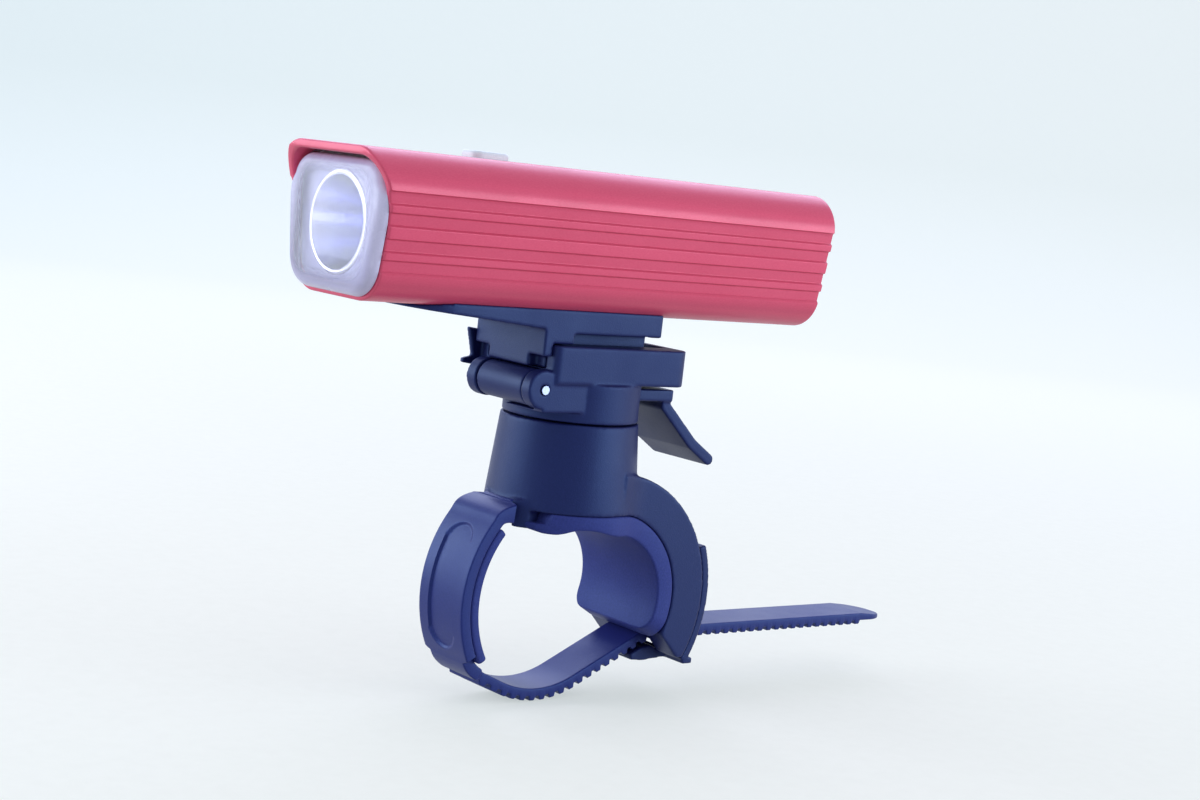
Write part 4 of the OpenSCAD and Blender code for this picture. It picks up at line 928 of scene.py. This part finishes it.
def finish(name, tones, gloss, scale=4000.0, bump=20, soft=0.3, dust=0.0, metal=0.0, specular=0.5,
           tint=(1, 1, 1, 1), stretch_by=(1, 1, 1)):
    """Material of two screen tones mixed by the grain, with a little dust and a bump. Gloss is the
    roughness when clean and when smudged, bump the grain's height in micrometres, and soft the
    radius in mm that sharp edges seem to have."""
    material, tree, shader, where = new_material(name)
    turned = tree.nodes.new("ShaderNodeMapping")
    turned.inputs["Scale"].default_value = stretch_by
    tree.links.new(where, turned.inputs["Vector"])
    fine_grain = use_effect(tree, grain, turned.outputs[0], Scale=scale)
    touch = use_effect(tree, handled, where, Size=55.0)
    base = mix_colour(tree, fine_grain["Shade"], colour(*tones[0]), colour(*tones[1]))
    if dust:
        settled = math_node(tree, "MULTIPLY", use_effect(tree, dusty, where, Size=1400.0)["Mask"], dust)
        base = mix_colour(tree, settled, base, colour(186, 190, 200))
    tree.links.new(base, shader.inputs["Base Color"])
    tree.links.new(remap(tree, touch["Smudge"], 0, 1, *gloss), shader.inputs["Roughness"])
    shader.inputs["Metallic"].default_value = metal
    shader.inputs["Specular IOR Level"].default_value = specular
    shader.inputs["Specular Tint"].default_value = tint
    relief = tree.nodes.new("ShaderNodeBump")
    relief.inputs["Distance"].default_value = bump * 1e-6
    relief.inputs["Strength"].default_value = 0.6
    tree.links.new(fine_grain["Height"], relief.inputs["Height"])
    if soft:
        edge_round = tree.nodes.new("ShaderNodeBevel")
        edge_round.samples = 6
        edge_round.inputs["Radius"].default_value = soft * MM
        tree.links.new(edge_round.outputs[0], relief.inputs["Normal"])
    tree.links.new(relief.outputs[0], shader.inputs["Normal"])
    return material


print("a tone of 128 is", round(colour(128, 128, 128)[0], 3), "in linear light")

# %% [markdown]
# ## Red anodised aluminium
# The tube was blasted, then dyed and anodised: a satin metal with a very fine grain and faint lines
# along the extrusion. The groove floors see less light, so shade is painted into them: a mask of the
# depth below the side's plane darkens their colour a little.

# %% Red shell
red = finish("red_anodised_tube", ((216, 75, 107), (222, 83, 115)), (0.5, 0.6), 5200.0, 12, 0, 0.02,
             metal=0.25, specular=0.15, stretch_by=(1, 0.35, 1))
tree, shader, where = parts_of(red)
apart = tree.nodes.new("ShaderNodeSeparateXYZ")
tree.links.new(where, apart.inputs[0])
sideways = math_node(tree, "ABSOLUTE", apart.outputs["X"])
outwards = math_node(tree, "MULTIPLY", sideways, float(side_n[0]))
above_foot = math_node(tree, "SUBTRACT", apart.outputs["Z"], float(lamp_z * MM))
upwards = math_node(tree, "MULTIPLY", above_foot, float(side_n[1]))
plane = float(side_start @ side_n) * MM
depth = math_node(tree, "SUBTRACT", plane, math_node(tree, "ADD", outwards, upwards))
# Painted shade: the groove floors' colour is darkened to stand for the light they miss.
level = math_node(tree, "MULTIPLY", remap(tree, depth, 0.0001, 0.00045),
                  remap(tree, depth, 0.0006, 0.0009, 1.0, 0.0))
plain = shader.inputs["Base Color"].links[0].from_socket
groove_painted_shade = mix_colour(tree, math_node(tree, "MULTIPLY", level, 0.14), plain, colour(168, 58, 88))
tree.links.new(groove_painted_shade, shader.inputs["Base Color"])
shader.inputs["Coat Weight"].default_value = 0.45
shader.inputs["Coat Roughness"].default_value = 0.25
print("groove floors darken below", round(plane / MM, 2), "mm from the middle plane")

# %% [markdown]
# ## Plastics and rubber
# The bracket's plastic is nearly black with a cool cast and a spark-eroded grain; the strap is
# a little smoother, because it has to bend; rubber is duller. Their gloss is tinted blue, so
# that lit faces keep the cool cast.

# %% Plastics and rubber
cool = (0.3, 0.52, 1.0, 1)
black_tones, black_gloss = ((23, 26, 74), (29, 32, 86)), (0.42, 0.52)
bracket = finish("bracket_plastic", black_tones, black_gloss, 3600.0, 30, 0, 0.02, tint=cool)
cap_black = finish("cap_plastic", black_tones, black_gloss, 3600.0, 30, 0.3, 0.02, tint=cool)
strap_black = finish("strap_plastic", ((33, 38, 102), (41, 46, 116)), (0.4, 0.5), 4400.0, 20, 0, 0.02,
                     tint=cool)
rubber = finish("liner_rubber", ((46, 52, 116), (54, 60, 132)), (0.55, 0.66), 2600.0, 30, 0, 0.03,
                specular=0.45, tint=cool)
seal = finish("seal_silicone", ((206, 206, 220), (216, 216, 228)), (0.45, 0.55), 3000.0, 10, 0)
frosted = finish("frosted_button", ((226, 232, 240), (238, 243, 248)), (0.35, 0.45), 4000.0, 10, 0, 0.03)
pale_plate = finish("pale_flange", ((196, 192, 226), (204, 200, 232)), (0.4, 0.5), 3000.0, 8, 0)
print("materials so far:", len(bpy.data.materials))

# %% [markdown]
# ## Metals and the inside
# Small steel pieces shine, and the carrier keeps the fine lines of turning, which a grain
# stretched along the lamp gives. The pieces inside the lamp show faintly through the clear front.

# %% Metals and inner pieces
steel = finish("plain_steel", ((150, 160, 188), (166, 176, 202)), (0.3, 0.4), 6000.0, 6, 0.12, metal=1.0)
carrier = finish("machined_carrier", ((196, 197, 212), (210, 211, 224)), (0.34, 0.44), 1800.0, 10, 0.2,
                 metal=0.8, stretch_by=(1, 0.1, 1))
emitter = finish("emitter_dome", ((240, 214, 120), (250, 228, 150)), (0.2, 0.3), 5000.0, 4, 0.1)
board_white = finish("white_board", ((226, 228, 230), (236, 238, 240)), (0.4, 0.5), 3000.0, 6, 0.1)
board_green = finish("green_board", ((40, 96, 64), (52, 112, 74)), (0.35, 0.45), 2200.0, 10, 0.1)
sleeve = finish("cell_sleeve", ((86, 118, 176), (100, 130, 188)), (0.35, 0.45), 1500.0, 10, 0.4)
print("materials so far:", len(bpy.data.materials))

# %% [markdown]
# ## The bright cup
# The cup's plating is bluish, and towards its rim a white painted highlight is mixed into its colour,
# standing for the ring of light that the rim catches. The distance from the lamp's axis tells the two
# apart: a Mapping node drops the place along the lamp, and the length of what is left is that distance.

# %% Bright cup
chrome = finish("bright_cup", ((142, 148, 202), (150, 156, 210)), (0.2, 0.28), 2500.0, 3, 0, metal=1.0)
tree, shader, where = parts_of(chrome)
flatten = tree.nodes.new("ShaderNodeMapping")
flatten.inputs["Location"].default_value = (0, 0, float(-cup_z * MM))
flatten.inputs["Scale"].default_value = (1, 0, 1)
tree.links.new(where, flatten.inputs["Vector"])
off_axis = tree.nodes.new("ShaderNodeVectorMath")
off_axis.operation = "LENGTH"
tree.links.new(flatten.outputs[0], off_axis.inputs[0])
deep = shader.inputs["Base Color"].links[0].from_socket
# Painted highlight: the colour whitens towards the rim.
rim_painted_highlight = remap(tree, off_axis.outputs["Value"], 0.0066, 0.0084)
tree.links.new(mix_colour(tree, rim_painted_highlight, deep, colour(248, 248, 255)), shader.inputs["Base Color"])
print("the cup whitens from 6.6 to 8.4 mm off its axis")

# %% [markdown]
# ## The milky skin
# The skin over the lens is milky at its edge and almost clear in the middle. A rounded square
# says where: the fifth powers of the sideways and upright distances, each against the window's
# half size, add up to 1 on its outline. That sum drives the skin's Alpha.

# %% Milky skin
milky = finish("frosted_skin", ((216, 210, 240), (224, 218, 246)), (0.22, 0.32), 3200.0, 6, 0)
tree, shader, where = parts_of(milky)
apart = tree.nodes.new("ShaderNodeSeparateXYZ")
tree.links.new(where, apart.inputs[0])
from_middle = math_node(tree, "SUBTRACT", apart.outputs["Z"], float((lamp_z + optic_z) * MM))
powers = []
for distance, half_size in ((apart.outputs["X"], 14.2), (from_middle, 12.0)):
    share = math_node(tree, "ABSOLUTE", math_node(tree, "DIVIDE", distance, half_size * MM))
    powers.append(math_node(tree, "POWER", share, 5.0))
squarish = math_node(tree, "ADD", *powers)
tree.links.new(remap(tree, squarish, 0.15, 0.9, 0.06, 1.0), shader.inputs["Alpha"])
print("materials so far:", len(bpy.data.materials))

# %% [markdown]
# ## Clear plastic
# The front is clear, thick plastic with a faint violet cast. Its transmission is plain; only the
# roughness changes, where fingers and dust have dulled it.

# %% Clear front
clear, tree, shader, where = new_material("clear_plastic")
touch = use_effect(tree, handled, where, Size=120.0)
tree.links.new(mix_colour(tree, touch["Smudge"], colour(240, 238, 252), colour(234, 232, 250)),
               shader.inputs["Base Color"])
tree.links.new(remap(tree, touch["Smudge"], 0, 1, 0.01, 0.03), shader.inputs["Roughness"])
shader.inputs["IOR"].default_value = 1.4
shader.inputs["Transmission Weight"].default_value = 0.97
print("clear plastic has", len(tree.nodes), "nodes")

# %% [markdown]
# ## Dressing the part
# Each finish is put on its solids, by their names, and on its new pieces. A solid that a piece
# stands for is dressed too, so nothing is ever bare.

# %% Put the finishes on
dress = [(red, "housing", shell), (clear, "front_lens", lens), (milky, border),
         (seal, "lens_gasket", "rear_gasket", front_seal, rear_seal),
         (chrome, "reflector", reflector), (pale_plate, flange), (emitter, "led_emitter"),
         (board_white, "led_board"), (carrier, "led_carrier"), (sleeve, "battery_cell"),
         (board_green, "circuit_board"), (frosted, "power_button", button),
         (cap_black, "cell_tray", "rear_cap"),
         (rubber, "usb_cover", "saddle_pad", "strap_pad", saddle, arm_liner, cover, cover_plug,
          cover_bar, web),
         (bracket, "mount_shoe", "cradle", "release_lever", "clamp_body", "ratchet_latch",
          *mouldings.values()),
         (strap_black, "strap", strap, strap_eye),
         (steel, "tact_switch", "usb_socket", "rear_cap_screws", "shoe_screws", "lever_pin",
          "lever_spring", "swivel_screw", "swivel_nut", "strap_pin", "latch_pin", "latch_spring",
          lever_spring, latch_spring)]
for material, *wearers in dress:
    for wearer in wearers:
        mesh = (nodes[wearer] if isinstance(wearer, str) else wearer).data
        mesh.materials.clear()
        mesh.materials.append(material)
print("dressed", sum(len(wearers) for _, *wearers in dress), "solids and pieces")

# %% [markdown]
# ## Floor and backdrop
# A pale sweep carries on from the floor into the backdrop, so there is no horizon. What the camera sees
# of it is mostly its own pale colour, and the rest is light that falls on it, which keeps the soft
# shadow. Painted light is in that colour: it is darker near the part, paler far off, bluer on the left
# and bluer still up high. The colour is given by the rays that the camera, mirrors and clear pieces send
# out, so it adds no light to the part.

# %% Pale sweep
floor_z = cad_box[0][2] / MM - 0.2
view_y = np.array([-np.sin(azimuth), np.cos(azimuth)])
view_x = np.array([np.cos(azimuth), np.sin(azimuth)])
quarter = np.radians(np.linspace(0, 90, 24))
run_out = np.concatenate([[-1500, -600, 0, 600], 1000 + 500 * np.sin(quarter), [1500]])
climb = np.concatenate([[0, 0, 0, 0], 500 * (1 - np.cos(quarter)), [2600]])
wide_x = np.linspace(-2200, 2200, 12)
sweep = np.zeros((len(run_out), len(wide_x), 3))
sweep[..., :2] = run_out[:, None, None] * view_y + wide_x[None, :, None] * view_x
sweep[..., 2] = floor_z + climb[:, None]
backdrop = surface("pale_sweep", sweep, wrap_columns=False)


def seen_by(tree):
    """1 for rays from the camera, and for those that a mirror or a clear piece sends on."""
    path = tree.nodes.new("ShaderNodeLightPath")
    both = math_node(tree, "MAXIMUM", path.outputs["Is Camera Ray"], path.outputs["Is Glossy Ray"])
    return math_node(tree, "MAXIMUM", both, path.outputs["Is Transmission Ray"])


pale, tree, shader, where = new_material("pale_paper")
paper = use_effect(tree, grain, where, Scale=300.0)
tree.links.new(mix_colour(tree, paper["Shade"], (0.47, 0.44, 0.41, 1), (0.49, 0.46, 0.43, 1)),
               shader.inputs["Base Color"])
length, across = (tree.nodes.new("ShaderNodeVectorMath") for _ in range(2))
length.operation, across.operation = "LENGTH", "DOT_PRODUCT"
across.inputs[1].default_value = (*view_x, 0)
for measure in (length, across):
    tree.links.new(where, measure.inputs[0])
# Painted light on the sweep: darker near the part, paler far off, bluer to the left and up high.
near, far_left, far_right = (0.47, 0.51, 0.51, 1), (0.53, 0.635, 0.69, 1), (0.58, 0.64, 0.67, 1)
far = mix_colour(tree, remap(tree, across.outputs["Value"], -0.8, 0.8), far_left, far_right)
low = mix_colour(tree, remap(tree, length.outputs["Value"], 0.15, 1.3), near, far)
up = tree.nodes.new("ShaderNodeSeparateXYZ")
tree.links.new(where, up.inputs[0])
high = remap(tree, up.outputs["Z"], 0.3, 0.7)
tree.links.new(mix_colour(tree, high, low, (0.5, 0.62, 1.0, 1)), shader.inputs["Emission Color"])
shader.inputs["Roughness"].default_value = 0.9
shader.inputs["Specular IOR Level"].default_value = 0.0
tree.links.new(seen_by(tree), shader.inputs["Emission Strength"])
backdrop.data.materials.append(pale)
print("the sweep's floor lies at", round(float(floor_z), 1), "mm")

# %% [markdown]
# ## Studio light
# Soft light comes from all round, as in a tent, and broad lamps above, at both sides and behind
# shape the form. The world has two brightnesses, one that lights the part and one that is seen.

# %% Light
world = bpy.data.worlds.new("studio")
bpy.context.scene.world = world
world.use_nodes = True
tree = world.node_tree
tree.nodes.clear()
soft_light, seen = (tree.nodes.new("ShaderNodeBackground") for _ in range(2))
for sky, tone, strength in ((soft_light, (0.8, 0.89, 1, 1), 0.55), (seen, (0.84, 0.92, 0.96, 1), 0.9)):
    sky.inputs["Color"].default_value = tone
    sky.inputs["Strength"].default_value = strength
choose = tree.nodes.new("ShaderNodeMixShader")
tree.links.new(seen_by(tree), choose.inputs[0])
tree.links.new(soft_light.outputs[0], choose.inputs[1])
tree.links.new(seen.outputs[0], choose.inputs[2])
tree.links.new(choose.outputs[0], tree.nodes.new("ShaderNodeOutputWorld").inputs[0])


def softbox(name, at, width, height, watts, tone=(0.8, 0.89, 1.0)):
    """Rectangular lamp that looks at the middle of the part."""
    lamp = bpy.data.objects.new(name, bpy.data.lights.new(name, "AREA"))
    lamp.data.shape, lamp.data.energy = "RECTANGLE", watts
    lamp.data.size, lamp.data.size_y = width, height
    lamp.data.color = tone
    away = np.array(at) - [0, -0.01, 0.04]
    z = away / np.linalg.norm(away)
    x = np.cross([0.01, 0, 1], z)
    x /= np.linalg.norm(x)
    frame_m = np.eye(4)
    frame_m[:3, :3] = np.stack([x, np.cross(z, x), z], 1)
    frame_m[:3, 3] = at
    lamp.matrix_world = frame_m.T.tolist()
    bpy.context.scene.collection.objects.link(lamp)


softbox("above", (0.1, -0.05, 0.85), 0.9, 0.9, 0.6)
softbox("left", (-0.42, -0.52, 0.2), 0.7, 0.4, 3.6)
softbox("right", (0.6, 0.46, 0.13), 0.7, 0.28, 3.4)
softbox("behind", (-0.72, 0.6, 0.7), 1.3, 0.7, 6.5, (0.74, 0.76, 1.0))
bpy.context.scene.view_settings.view_transform = "Standard"
